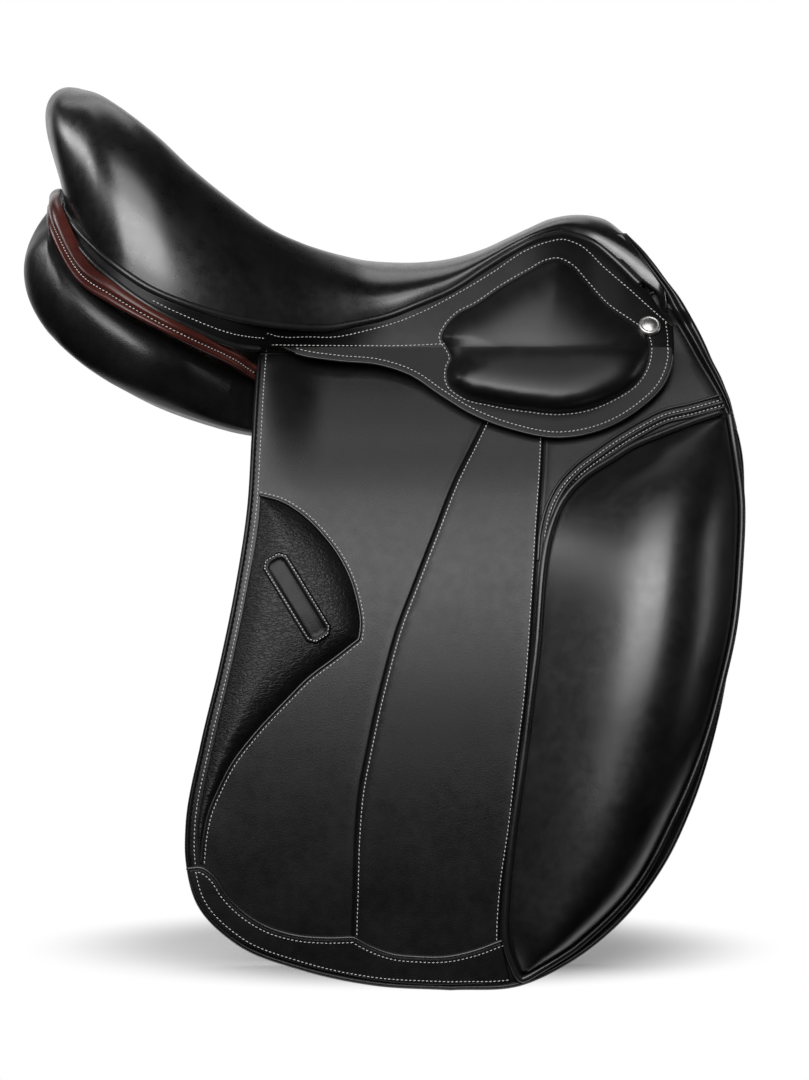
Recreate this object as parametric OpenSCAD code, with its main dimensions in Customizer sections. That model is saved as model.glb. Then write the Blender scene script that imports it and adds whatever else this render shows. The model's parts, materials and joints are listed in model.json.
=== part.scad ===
// Dressage saddle, an assembly of separate leather, foam, wood and steel pieces, in mm
// +X is forward, +Z is up, the left side is +Y and the origin is where it rests on the back

/* [Seat] */
// top of the cantle above the rest point
cantle_h = 254; // [246:1:262]
// top of the pommel above the rest point
pommel_h = 162; // [159:1:168]
// lowest part of the seat above the rest point
dip_h = 128.5; // [126:0.5:134]
// half width of the seat at the rear
seat_half_w = 150; // [144:1:154]
// hollow in the rear half of the seat between its rims
seat_dish = 18; // [12:0.5:20]
// thickness of the seat leather
cover_t = 2; // [1.6:0.1:2.6]
// padding under the seat leather
foam_t = 25; // [21:1:28]
// radius of the welt round the seat
welt_r = 2.2; // [1.8:0.1:2.6]

/* [Skirts] */
// thickness of the skirt leather
skirt_t = 3.2; // [2.6:0.1:3.8]
// crown of the skirt pad above the fold
pad_upper_t = 13; // [9:0.5:15]
// crown of the skirt pad below the fold
pad_lower_t = 11; // [8:0.5:14]
// radius of the saddle nail
nail_r = 8; // [6:0.5:9]

/* [Flaps] */
// lowest point of the flap below the rest point
flap_drop = 381; // [371:1:395]
// spread of the flap from the middle at its widest
flap_spread = 173; // [171:0.5:177]
// thickness of the flap leather
flap_t = 4; // [3.2:0.1:4.6]
// height of the knee block over the flap
block_t = 48; // [40:1:56]
// radius of the piping round the knee block
piping_r = 2.4; // [1.8:0.1:2.8]
// crown of the thigh pad
thigh_t = 8; // [5:0.5:11]
// length of the keeper patch
patch_len = 66; // [56:1:72]
// width of the keeper patch
patch_w = 19; // [15:1:22]
// thickness of the lower guard strip
guard_t = 1.8; // [1.2:0.1:2.6]

/* [Sweat flaps and panels] */
// thickness of the sweat flap leather
sweat_t = 3; // [2.4:0.1:3.4]
// room for the girth straps between the flap and the sweat flap
strap_room = 14; // [13:0.5:15]
// half width of the channel between the panels
channel_half_w = 34; // [30:1:36]
// thickness of the brown strip under the cantle
strip_t = 3; // [2.4:0.1:3.6]

/* [Tree and stirrup bars] */
// thickness of the spring tree
tree_t = 9; // [7:0.5:9.5]
// thickness of the head arch
head_t = 9; // [8:0.5:9.5]
// length of the head arch along the saddle
head_len = 40; // [36:1:42]
// thickness of the steel head plate
plate_t = 3; // [2:0.5:4]
// radius of the stirrup bar
bar_r = 4.5; // [4:0.1:4.7]
// free length of the stirrup bar
bar_len = 60; // [54:1:62]
// gap behind the stirrup bar for the leather
bar_gap = 6.5; // [6:0.1:6.8]
// thickness of the bar's back plate
back_t = 3.5; // [2.5:0.1:3.8]
// length of the thumb catch
catch_len = 20; // [16:0.5:21]
// thickness of the thumb catch
catch_t = 4; // [3.4:0.1:4.4]
// radius of the catch pin
pin_r = 1.5; // [1.2:0.1:1.8]
// radius of the rivet shanks
rivet_r = 3; // [2.5:0.1:3.4]

/* [Girth straps] */
// width of a girth strap
strap_w = 25; // [22:0.5:28]
// thickness of a girth strap
strap_t = 4; // [3.4:0.1:4.4]
// lower end of the girth straps below the rest point
strap_drop = 345; // [341:1:350]
// radius of the strap holes
hole_r = 2.6; // [2.2:0.1:3]
// pitch of the strap holes
hole_pitch = 20; // [18:0.5:21]
// number of holes in a strap
hole_n = 6; // [4:1:6]
// thickness of the girth webs
web_t = 2.5; // [2:0.1:2.8]

/* [Hidden] */
$fn = 48;

// clearance between pieces that lie on each other
fit = 0.3;
// clearance between pieces that follow a curved face in flat facets
lay = 0.4;
// clearance on diameter of a pin in its bore
pin_fit = 0.2;
// height of the seam that the flap and the skirt fold at
fold_h = 65;
// gap left open at the fold
fold_gap = 0.5;
// skirt's distance from the middle along the fold, in front of the waist
fold_out = 98;
// slope of the skirt below the fold
skirt_slope = 0.46;
// flap's distance from the middle at its upper edge
flap_top_out = 86;
// upper edge of the flap
flap_top = fold_h - 3;
// inward wrap of the flap at its front edge
flap_wrap = 14;
// outward flare of the flap at its upper rear corner
flap_flare = 16;
// upper edge of the sweat flap
sweat_top = fold_h - 20;
// middle of the stirrup bar's height
bar_h = fold_h + 5;
// flat side of the head arch that carries the stirrup bar
head_side = 60;
// front end of the head arch
head_front = 158;
// colours
black = [0.09, 0.09, 0.1];
brown = [0.36, 0.17, 0.09];
steel = [0.66, 0.67, 0.69];
wood = [0.72, 0.55, 0.35];
foam_white = [0.9, 0.88, 0.82];
webbing = [0.6, 0.58, 0.54];

// Curves and tables
function mix(a, b, t) = a + (b - a) * t;
function ease(t) = let (u = min(1, max(0, t))) u * u * (3 - 2 * u);
function knot(t, x, i = 0) = i >= len(t) - 2 || x < t[i + 1][0] ? i : knot(t, x, i + 1);
function rate(t, i) = let (a = t[max(0, i - 1)], b = t[min(len(t) - 1, i + 1)])
  (b[1] - a[1]) / (b[0] - a[0]);
// value at x of a smooth curve through the [x, value] pairs of t
function along(t, x) = let (
    i = knot(t, x),
    h = t[i + 1][0] - t[i][0],
    u = min(1, max(0, (x - t[i][0]) / h)),
    v = 1 - u)
  v * v * (1 + 2 * u) * t[i][1] + u * v * v * h * rate(t, i)
  + u * u * (1 + 2 * v) * t[i + 1][1] - u * u * v * h * rate(t, i + 1);
// point at s, 0 to 1, of a smooth curve through the points of p
function curve(p, s) = let (
    n = len(p) - 1,
    k = min(n - 1, floor(s * n)),
    u = s * n - k,
    a = p[max(0, k - 1)], b = p[k], c = p[k + 1], d = p[min(n, k + 2)])
  0.5 * (2 * b + (c - a) * u + (2 * a - 5 * b + 4 * c - d) * u * u + (3 * b - a - 3 * c + d) * u * u * u);
function unit(v) = v / norm(v);
function joined(rows) = [for (r = rows) each r];
// evenly eased steps from a to b, closer together at b when e is over 1
function steps(a, b, n, e = 1) = [for (i = [0 : n]) a + (b - a) * (1 - pow(1 - i / n, e))];

// Solids from grids of points
// thin piece between an outer and an inner grid; rows run down, columns run forward, +Y is outside
module slab(outer, inner) {
  n = len(outer);
  m = len(outer[0]);
  k = n * m;
  polyhedron(points = concat(joined(outer), joined(inner)), faces = concat(
    [for (i = [0 : n - 2], j = [0 : m - 2]) let (a = i * m + j, b = a + 1, c = b + m, d = a + m)
      each [[a, c, b], [a, d, c], [k + a, k + b, k + c], [k + a, k + c, k + d]]],
    [for (j = [0 : m - 2]) let (a = j, b = j + 1, d = (n - 1) * m + j, c = d + 1)
      each [[a, b, k + b], [a, k + b, k + a], [c, d, k + d], [c, k + d, k + c]]],
    [for (i = [0 : n - 2]) let (a = i * m, d = a + m, b = a + m - 1, c = b + m)
      each [[d, a, k + a], [d, k + a, k + d], [b, c, k + c], [b, k + c, k + b]]]));
}
// closed rings joined one after the other, with a fan at each end
module loft(rings) {
  n = len(rings);
  m = len(rings[0]);
  ends = [for (r = [rings[0], rings[n - 1]]) [for (q = [0 : 2]) [for (p = r) 1] * [for (p = r) p[q]] / m]];
  polyhedron(points = concat(joined(rings), ends), faces = concat(
    [for (i = [0 : n - 2], j = [0 : m - 1]) let (
        a = i * m + j, b = i * m + (j + 1) % m, c = b + m, d = a + m)
      each [[a, c, b], [a, d, c]]],
    [for (j = [0 : m - 1]) let (b = (j + 1) % m, q = (n - 1) * m)
      each [[n * m, j, b], [n * m + 1, q + b, q + j]]]));
}
// round cord of radius r along the points of path; up is a direction the path never takes
module cord(path, r, up, sides = 6) {
  n = len(path) - 1;
  loft([for (i = [0 : n]) let (
      t = unit(path[min(n, i + 1)] - path[max(0, i - 1)]),
      a = unit(cross(t, up)),
      b = cross(t, a))
    [for (j = [0 : sides - 1]) path[i] + r * (cos(360 * j / sides) * a + sin(360 * j / sides) * b)]]);
}
module on(side) {
  if (side == "right") mirror([0, 1, 0]) children();
  else children();
}

// Side faces as distances from the middle
BARREL = [[-400, flap_spread - 5], [-280, flap_spread], [-180, flap_spread - 4], [fold_h - 165, 158],
  [fold_h - 105, 141], [fold_h - 65, 122], [fold_h - 35, 106], [fold_h, flap_top_out], [fold_h + 35, 72],
  [fold_h + 60, 63], [fold_h + 95, 50]];
function barrel(z) = along(BARREL, z);
function wrap(x, z) = flap_wrap * pow(max(0, x - 90) / 150, 2) * ease((60 - z) / 80);
function flare(x, z) = flap_flare * ease((-50 - x) / 50) * ease((z + 60) / 110);
function flap_out(x, z) = barrel(z) + flare(x, z) - wrap(x, z);
// room left behind the flap's front edge, wider near the top where the edge swings in
function front_room(z) = mix(1, 5.5, ease((z + 20) / 70));
function sweat_out(x, z) = flap_out(x, z) - flap_t - mix(strap_room, front_room(z), ease((x - 110) / 80));
function skirt_out(x, z) = z > fold_h
  ? mix(along(FOLD_OUT, x), along(WELT_OUT, x), (z - fold_h) / (along(WELT_Z, x) - fold_h))
  : along(FOLD_OUT, x) + (fold_h - z) * skirt_slope - wrap(x, z);

// Seat: rows from the rear middle round the left side to the front middle
// welt x, out, z; middle line x, z; rearward roll; plan heading of the edge; padding
cantle_d = cantle_h - 254;
pommel_d = pommel_h - 162;
dip_d = dip_h - 128.5;
width_d = seat_half_w - 150;
SEAT = [
  [-238, 0, 171, -236, 253.5, 16, 180, 1.0],
  [-237, 45, 168, -234, 253.3, 15, 168, 1.0],
  [-233, 90, 160, -228, 252.3, 11, 143, 1.0],
  [-217, 124, 141, -213, 247.4, 5, 125, 1.0],
  [-198, 142, 124, -195, 235.2, 2, 112, 1.0],
  [-173, 150, 107, -170, 214.3, 0, 98, 1.0],
  [-147, 148, 96, -145, 190.7, 0, 88, 1.0],
  [-118, 137, 87.5, -117, 167.9, 0, 80, 1.0],
  [-92, 125, 83, -92, 150, 0, 78, 1.0],
  [-70, 115, 81, -70, 139.8, 0, 78, 1.0],
  [-49, 107, 81, -49, 133.4, 0, 78, 1.0],
  [-30, 101, 84.5, -30, 130, 0, 78, 1.0],
  [-11, 96, 89, -11, 128.3, 0, 80, 1.0],
  [12, 91, 98, 12, 128, 0, 80, 1.0],
  [35, 85, 108, 35, 130.5, 0, 80, 1.0],
  [58, 78, 123, 58, 137, 0, 80, 1.05],
  [77, 72, 135, 77, 145.5, 0, 80, 1.15],
  [92, 68, 143, 92, 152.5, 0, 80, 1.2],
  [104, 64, 147, 104, 158, 0, 80, 1.2],
  [114, 60, 149, 116, 161, 0, 80, 1.2],
  [125, 57, 147, 126, 162, 0, 80, 1.2],
  [138, 55.5, 142, 137, 161.3, 0, 80, 1.1],
  [154, 59, 129, 147, 158.3, 0, 80, 1.0],
  [170, 65, 113, 154, 152.5, 0, 72, 0.85],
  [183, 69, 102, 160, 145, 0, 60, 0.7],
  [188, 73, 91, 165, 138, 0, 45, 0.5],
  [189, 50, 97, 169, 131.5, 0, 15, 0.36],
  [182, 26, 110, 172, 126, 0, 5, 0.24],
  [175, 0, 117, 174, 121, 0, 0, 0.14]];
SEAT_N = len(SEAT) - 1;
// first row on the straight side, and the row at the front lower corner
SIDE_ROW = 8;
CORNER_ROW = 25;
function middle_z(r) = r[4] + cantle_d * ease((-80 - r[3]) / 120) + pommel_d * ease((r[3] - 50) / 60)
  + dip_d * ease((130 - abs(r[3])) / 110);
function welt_out(r) = r[1] + width_d * ease((-50 - r[0]) / 80) * min(1, r[1] / 90);
// share of a row's dish: none at the rear middle and in front of the waist
function dished(r) = ease((r[3] + 236) / 60) * ease((-10 - r[3]) / 90);
// height over the welt before it is scaled, at share k of the way from the middle to the welt
function seat_bulge(r, k) = let (q = dished(r))
  (middle_z(r) - r[2]) * pow(max(0, 1 - pow(k, mix(2, 3.6, q))), 1 / mix(2.5, 2.1, q))
  - seat_dish * q * pow(max(0, 1 - pow(k / 0.68, 2)), 2);
// scale that brings the highest part of a row, its rim where it is dished, to the row's given height
function seat_scale(r) = (middle_z(r) - r[2]) / max([for (k = [0 : 0.04 : 1]) seat_bulge(r, k)]);
// point of the seat's outer face, a from -90 at the right welt to 90 at the left one, t inside it
function seat_pt(r, a, t) = let (
    k = sin(abs(a)), s = a < 0 ? -1 : 1, h = r[6],
    x = r[3] + (r[0] - r[3]) * k * k - r[5] * sin(2 * abs(a)) - t * k * cos(h),
    y = s * max(0, welt_out(r) * k - t * k * sin(h)),
    z = r[2] + seat_bulge(r, k) * seat_scale(r) - t * cos(a))
  [x, y, z];
function pad_in(r, a) = cover_t + fit + 3 + (foam_t * r[7] - 3) * pow(cos(a), 0.7);
SEAT_A = 6;
// faces of the cover and the foam: 0 cover outside, 1 cover inside, 2 foam outside, 3 foam inside
function seat_depth(r, a, face) = face == 0 ? 0 : face == 1 ? cover_t
  : face == 2 ? cover_t + 2 * fit + max(0, 1 - r[7]) : pad_in(r, a);
// the foam stops short of the cover where the front turns down
function foam_back(r, face) = face == 2 ? 3 * max(0, 0.4 - r[7]) : 0;
function seat_grid(face) = [for (r = SEAT) [for (j = [-SEAT_A : SEAT_A]) let (a = 90 * j / SEAT_A)
  seat_pt(r, a, seat_depth(r, a, face)) - [foam_back(r, face), 0, 0]]];
// dome between two seat grids, folded together along the rear and the front middle
module dome(outer, inner) {
  m = 2 * SEAT_A + 1;
  k = len(outer) * m;
  function id(i, j) = i * m + (i == 0 || i == SEAT_N ? SEAT_A + abs(j - SEAT_A) : j);
  function quad(i, j) = [id(i, j), id(i, j + 1), id(i + 1, j + 1), id(i + 1, j)];
  polyhedron(points = concat(joined(outer), joined(inner)), faces = [
    for (i = [0 : SEAT_N - 1], j = [0 : m - 2]) let (q = quad(i, j)) each [
      [q[0], q[1], q[2]], [q[0], q[2], q[3]],
      [k + q[0], k + q[2], k + q[1]], [k + q[0], k + q[3], k + q[2]]],
    for (i = [0 : SEAT_N - 1]) let (l = id(i, m - 1), n = id(i + 1, m - 1), r = id(i, 0), s = id(i + 1,
      0)) each [
      [l, k + l, n], [n, k + l, k + n], [r, s, k + r], [s, k + s, k + r]]]);
}
// welt and fold as functions of x along the straight side
// from here forward the skirt stands off the seat to lie over the flap's head
LIFT_ROW = 22;
function edge_pt(i) = seat_pt(SEAT[i], 90, 0);
WELT_OUT = [for (i = [SIDE_ROW : CORNER_ROW]) [SEAT[i][0], welt_out(SEAT[i]) + (i < LIFT_ROW ? 0 : 2)]];
WELT_Z = [for (i = [SIDE_ROW : CORNER_ROW]) [SEAT[i][0], SEAT[i][2]]];
FOLD_OUT = [[-104, fold_out + 22], [-92, fold_out + 14], [-75, fold_out + 7], [-60, fold_out + 5],
  [-46, fold_out + 3.5],
  [-10, fold_out + 1], [20, fold_out], [100, fold_out], [195, fold_out]];
// height taken by the welt between the seat and the skirt
welt_room = 2 * welt_r + 3 * lay;

// piece lying on a side face, in level rows from one height to the next
module rows_piece(zs, rear, front, nu, base, height) {
  grid = [for (z = zs) let (a = along(rear, z), b = along(front, z)) [for (j = [0 : nu]) [mix(a, b,
    j / nu), z, j / nu]]];
  slab([for (row = grid) [for (p = row) [p[0], base(p[0], p[1]) + height(p[0], p[1], p[2]), p[1]]]],
    [for (row = grid) [for (p = row) [p[0], base(p[0], p[1]), p[1]]]]);
}

// Tree
module tree() color(wood) {
  TREE_ROWS = 21;
  grid = function (extra) [for (i = [-TREE_ROWS : TREE_ROWS]) let (r = SEAT[abs(i)]) [for (a = [60, 45, 30])
    let (p = seat_pt(r, a, pad_in(r, a) + 5 * lay + extra)) [p[0], (i < 0 ? -1 : 1) * p[1], p[2]]]];
  slab(grid(0), grid(tree_t));
}
// middle line of the head arch from the top to the point, out and up
ARCH = [[0, pommel_h - 41.8], [24, pommel_h - 42.3], [42, 113 + 0.8 * pommel_d], [53, 99 + 0.4 * pommel_d],
  [head_side - 0.5, bar_h + 16], [head_side, bar_h + 10], [head_side, bar_h - 12],
    [head_side + 4, bar_h - 20],
  [head_side + 8, bar_h - 30]];
module arch_band(t, shift, n_end) {
  half = [for (p = [for (i = [0 : n_end]) ARCH[i]]) p];
  d = [for (i = [0 : n_end]) let (v = unit(half[min(n_end, i + 1)] - half[max(0, i - 1)])) [-v[1], v[0]]];
  edge = function (k) [for (i = [0 : n_end]) half[i] + (i == 0 ? [0, 1] : d[i]) * k];
  outer = edge(shift + t / 2);
  inner = edge(shift - t / 2);
  polygon(concat(outer, [for (i = [n_end : -1 : 0]) inner[i]],
    [for (i = [1 : n_end]) [-inner[i][0], inner[i][1]]], [for (i = [n_end : -1 : 1]) [-outer[i][0],
      outer[i][1]]]));
}
module along_x(x0, length) translate([x0, 0, 0]) rotate([90, 0,
  90]) linear_extrude(height = length) children();
module rivet_bores(extra) {
  for (s = [-1, 1], x = rivet_xs) translate([x, 0, bar_h])
    rotate([-90 * s, 0, 0]) cylinder(r = rivet_r + extra, h = head_side + 40);
}
rivet_xs = [head_front - head_len + 8, head_front - 19];
module tree_head() color(wood) difference() {
  along_x(head_front - head_len, head_len) arch_band(head_t, 0, 8);
  rivet_bores(pin_fit / 2);
}
module head_plate() color(steel) difference() {
  along_x(head_front - head_len + 6, head_len - 12) arch_band(plate_t, -head_t / 2 - plate_t / 2 - fit, 7);
  rivet_bores(pin_fit / 2);
}
module seat_webs() color(webbing) {
  grid = function (extra) [for (i = [3 : 20]) let (r = SEAT[i]) [for (a = [15, 0, -15])
    seat_pt(r, a, pad_in(r, a) + 4 * lay + extra)]];
  slab(grid(0), grid(1.6));
}
module gullet_lining() color(black) along_x(head_front - head_len - 8, head_len + 24)
  arch_band(2, -head_t / 2 - plate_t - 2 * fit - 1.4, 5);

// Seat pieces
module seat_foam() color(foam_white) dome(seat_grid(2), seat_grid(3));
module seat_cover() color(black) dome(seat_grid(0), seat_grid(1));
// welt's middle, set off from the seat's lower edge square to its run
WELT_END = CORNER_ROW - 2;
function welt_pt(i) = let (
    p = edge_pt(i),
    t = unit(edge_pt(min(WELT_END, i + 1)) - (i == 0 ? [SEAT[1][0], -SEAT[1][1],
      SEAT[1][2]] : edge_pt(i - 1))))
  p + (welt_r + lay) * unit([0, 0, -1] + t[2] * t);
module seat_welt() color(black) cord(concat(
  [for (i = [WELT_END : -1 : 1]) let (p = welt_pt(i)) [p[0], -p[1], p[2]]],
  [for (i = [0 : WELT_END]) welt_pt(i)]), welt_r, [0, 0, 1], 5);

// Stirrup bar with its thumb catch
back_out = head_side + head_t / 2 + fit;
bar_out = back_out + back_t + bar_gap + bar_r;
bar_front = head_front - 8;
catch_x = bar_front - bar_len;
// one plate standing on the side of the saddle, from x0 to x1, out0 to out1 and z0 to z1
module block(x, out, z) translate([x[0], out[0], z[0]]) cube([x[1] - x[0], out[1] - out[0], z[1] - z[0]]);
module stirrup_bar(side) color(steel) on(side) difference() {
  union() {
    block([catch_x + 12, bar_front + 6], [back_out, back_out + back_t], [bar_h - 10, bar_h + 10]);
    block([bar_front - 4, bar_front + 6], [back_out, bar_out + bar_r], [bar_h - bar_r, bar_h + bar_r]);
    translate([catch_x, bar_out, bar_h]) rotate([0, 90, 0]) cylinder(r = bar_r, h = bar_len);
    translate([catch_x, bar_out - bar_r, bar_h]) rotate([-90, 0, 0]) cylinder(r = bar_r, h = 2 * bar_r);
  }
  block([catch_x - bar_r - 1, catch_x + bar_r + 1.5], [bar_out - catch_t / 2 - fit,
    bar_out + catch_t / 2 + fit],
    [bar_h - bar_r - 1, bar_h + bar_r + 1]);
  translate([catch_x, bar_out - bar_r - 1, bar_h]) rotate([-90, 0, 0])
    cylinder(r = pin_r + pin_fit / 2, h = 2 * bar_r + 2);
  for (x = rivet_xs) translate([x, back_out, bar_h]) rotate([-90, 0, 0]) {
    translate([0, 0, -1]) cylinder(r = rivet_r + pin_fit / 2, h = back_t + 2);
    translate([0, 0, back_t - sink]) cylinder(r1 = rivet_r + pin_fit / 2,
      r2 = rivet_r + sink + pin_fit / 2, h = sink);
  }
}
module thumb_catch(side) color(steel) on(side) difference() {
  union() {
    translate([catch_x, bar_out - catch_t / 2, bar_h]) rotate([-90, 0, 0]) cylinder(r = bar_r - 0.5,
      h = catch_t);
    block([catch_x - catch_len, catch_x], [bar_out - catch_t / 2, bar_out + catch_t / 2],
      [bar_h - bar_r + 0.5, bar_h + 1.5]);
    translate([catch_x - catch_len, bar_out - catch_t / 2, bar_h - 1]) rotate([-90, 0,
      0]) cylinder(r = 3, h = catch_t);
  }
  translate([catch_x, bar_out - catch_t, bar_h]) rotate([-90, 0, 0]) cylinder(r = pin_r + pin_fit / 2,
    h = 2 * catch_t);
}
module catch_pin(side) color(steel) on(side)
  translate([catch_x, bar_out - bar_r, bar_h]) rotate([-90, 0, 0]) cylinder(r = pin_r, h = 2 * bar_r);
// each rivet is sunk flush with the back plate, so that the slot behind the bar stays clear
sink = 1.6;
rivet_in = head_side - head_t / 2 - plate_t - fit;
module bar_rivets(side) color(steel) on(side) for (x = rivet_xs) translate([x, 0, bar_h]) rotate([-90,
  0, 0]) {
  translate([0, 0, rivet_in]) cylinder(r = rivet_r, h = back_out + back_t - rivet_in);
  translate([0, 0, back_out + back_t - sink]) cylinder(r1 = rivet_r, r2 = rivet_r + sink, h = sink);
  translate([0, 0, rivet_in - fit - 1.2]) cylinder(r = rivet_r + 1.4, h = 1.2);
}

// Girth straps and the webs they hang from
strap_xs = [38, -14];
// the strap is straight from its top to here
strap_straight = 14;
strap_pivot = 26;
strap_flat = -205;
flat_out = 159;
// middle of the strap's thickness at height z
function strap_out(z) = z < strap_flat ? flat_out
  : mix(barrel(z) - flap_t - 6.5, flat_out, ease((-120 - z) / 85));
module ribbon(pts, t) {
  n = len(pts) - 1;
  polygon(concat([for (p = pts) p + [t / 2, 0]], [for (i = [n : -1 : 0]) pts[i] - [t / 2, 0]]));
}
module billet(x, side) color(black) on(side) difference() {
  along_x(x - strap_w / 2, strap_w) ribbon(concat([[strap_out(strap_pivot + 8), strap_pivot + 8]],
    [for (i = [0 : 11]) let (z = mix(strap_straight, strap_flat, i / 11)) [strap_out(z), z]],
      [[flat_out, -strap_drop]]), strap_t);
  for (i = [0 : hole_n - 1]) translate([x, flat_out - strap_t,
    -strap_drop + 20 + i * hole_pitch]) rotate([-90, 0, 0])
    cylinder(r = hole_r, h = 2 * strap_t);
}
// where the web of each strap is tacked to the edge of the tree, out and up
web_tacks = [[58.9, 109], [64.7, 99]];
// middle of the web's thickness behind the strap's straight top
function web_out(z) = strap_out(strap_straight) - strap_t / 2 - web_t / 2 - 2 * fit
  + (strap_out(strap_pivot + 8) - strap_out(strap_straight)) * (z - strap_straight)
    / (strap_pivot + 8 - strap_straight);
module girth_webs(side) color(webbing) on(side) for (i = [0, 1])
  along_x(strap_xs[i] - strap_w / 2, strap_w) ribbon(concat(
    [web_tacks[i], web_tacks[i] + [5, -7], [75, 80], [79, 64], [84, 50]],
    [for (z = [strap_pivot + 8, strap_straight + 2]) [web_out(z), z]]), web_t);

// Panel: closed sections from the rear end to the front end
PANEL_TOP_IN = [[-252, 158], [-246, 150], [-235, 143], [-200, 125], [-150, 98], [-100, 82], [-50, 78],
  [0, 78], [60, 82], [120, 86], [188, 88]];
PANEL_TOP_Z = [[-252, 147], [-246, 137], [-235, 121], [-215, 99.5], [-187, 80], [-153, 63], [-104, 42.6],
  [-60, 38], [0, 38], [60, 38], [112, 36], [188, 38]];
PANEL_TOP_OUT = [[-252, 100], [-246, 110], [-235, 126], [-215, 141], [-187, 147], [-153, 139],
  [-128, 118], [-104, 98], [-88, 88], [-60, 78], [0, 74], [60, 66], [112, 50], [188, 50]];
PANEL_MID_OUT = [[-252, 116], [-235, 138], [-198, 151], [-170, 149], [-128, 124], [-104, 107],
  [-88, 97], [-60, 90], [0, 88], [60, 84], [112, 80], [188, 80]];
PANEL_LOW_OUT = [[-252, 108], [-235, 122], [-198, 134], [-170, 130], [-128, 116], [-104, 106],
  [-60, 98], [0, 95], [60, 98], [120, 106], [165, 110], [188, 106]];
PANEL_LOW_Z = [[-252, 86], [-246, 76], [-235, 64.5], [-219, 51], [-198, 37.5], [-170, 24], [-128, 10],
  [-104, 5], [-60, -2], [0, -8], [60, -14], [120, -30], [165, -40], [188, -32]];
PANEL_IN_Z = [[-252, 108], [-235, 93], [-200, 72], [-150, 50], [-100, 38], [-50, 32], [0, 30],
  [60, 34], [120, 42], [188, 52]];
function panel_ring(x) = let (
    c = channel_half_w,
    tz = along(PANEL_TOP_Z, x), to = along(PANEL_TOP_OUT, x), ti = along(PANEL_TOP_IN, x),
    mo = along(PANEL_MID_OUT, x), lo = along(PANEL_LOW_OUT, x), lz = along(PANEL_LOW_Z, x),
      iz = along(PANEL_IN_Z, x),
    p = [[c, (ti + iz) / 2], [c + 3, ti - 3], [mix(c, to, 0.5), mix(ti, tz, 0.4)], [to, tz],
      [mo, mix(tz, lz, 0.55)], [lo, lz], [mix(c, lo, 0.5), mix(iz, lz, 0.55) - 3], [c + 4, iz + 2]],
    n = len(p))
  [for (j = [15 : -1 : 0]) let (k = floor(j / 2), u = (j % 2) / 2,
      q0 = p[(k + n - 1) % n], q1 = p[k], q2 = p[(k + 1) % n], q3 = p[(k + 2) % n],
      q = u == 0 ? q1 : (9 * (q1 + q2) - q0 - q3) / 16)
    [x, q[0], q[1]]];
function shrunk(ring, k, dx) = let (c = [for (q = [0
  : 2]) [for (p = ring) 1] * [for (p = ring) p[q]] / len(ring)])
  [for (p = ring) let (v = c + (p - c) * k) [v[0] + dx, v[1], v[2]]];
PANEL_XS = [-252, -246, -238, -226, -212, -196, -178, -160, -142, -124, -108, -92, -72, -48, -20, 10,
  40, 70, 100, 130, 155, 172, 184];
module panel(side) color(black) on(side) loft(concat(
  [shrunk(panel_ring(-252), 0.4, -12.5), shrunk(panel_ring(-252), 0.72, -10.5),
    shrunk(panel_ring(-252), 0.9, -6)],
  [for (x = PANEL_XS) panel_ring(x)],
  [shrunk(panel_ring(184), 0.75, 6)]));

// Brown strip under the cantle
STRIP_TOP = [[-245, 0, 181], [-244, 45, 177], [-238.5, 93, 164], [-219, 127.5, 126], [-198, 145, 109],
  [-172, 152, 91], [-146, 147, 77], [-118, 126, 64], [-106, 110, 56]];
STRIP_LOW = [[-249, 0, 166], [-248.5, 46, 162], [-243, 95, 144], [-223, 130.5, 110.5], [-200, 149, 93],
  [-172, 155.5, 78], [-146, 150, 65], [-118, 128.5, 52], [-106, 111, 44.5]];
module cantle_strip() color(brown) {
  N = 18;
  pt = function (p, i) let (q = curve(p, abs(i) / N)) [q[0], i < 0 ? -q[1] : q[1], q[2]];
  in = function (p, i) let (q = curve(p, abs(i) / N), d = unit([q[0] - curve(p, max(0,
    abs(i) / N - 0.02))[0] - 0.001, q[1] - curve(p, max(0, abs(i) / N - 0.02))[1] + 0.1]))
    [q[0] + strip_t * d[1], (i < 0 ? -1 : 1) * max(0, q[1] - strip_t * d[0]), q[2]];
  steps_i = [for (i = [-N : N]) i];
  slab([[for (i = steps_i) pt(STRIP_TOP, i)], [for (i = steps_i) mix(pt(STRIP_TOP, i), pt(STRIP_LOW,
    i), 0.5)], [for (i = steps_i) pt(STRIP_LOW, i)]],
    [[for (i = steps_i) in(STRIP_TOP, i)], [for (i = steps_i) mix(in(STRIP_TOP, i), in(STRIP_LOW, i),
      0.5)], [for (i = steps_i) in(STRIP_LOW, i)]]);
}

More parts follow.
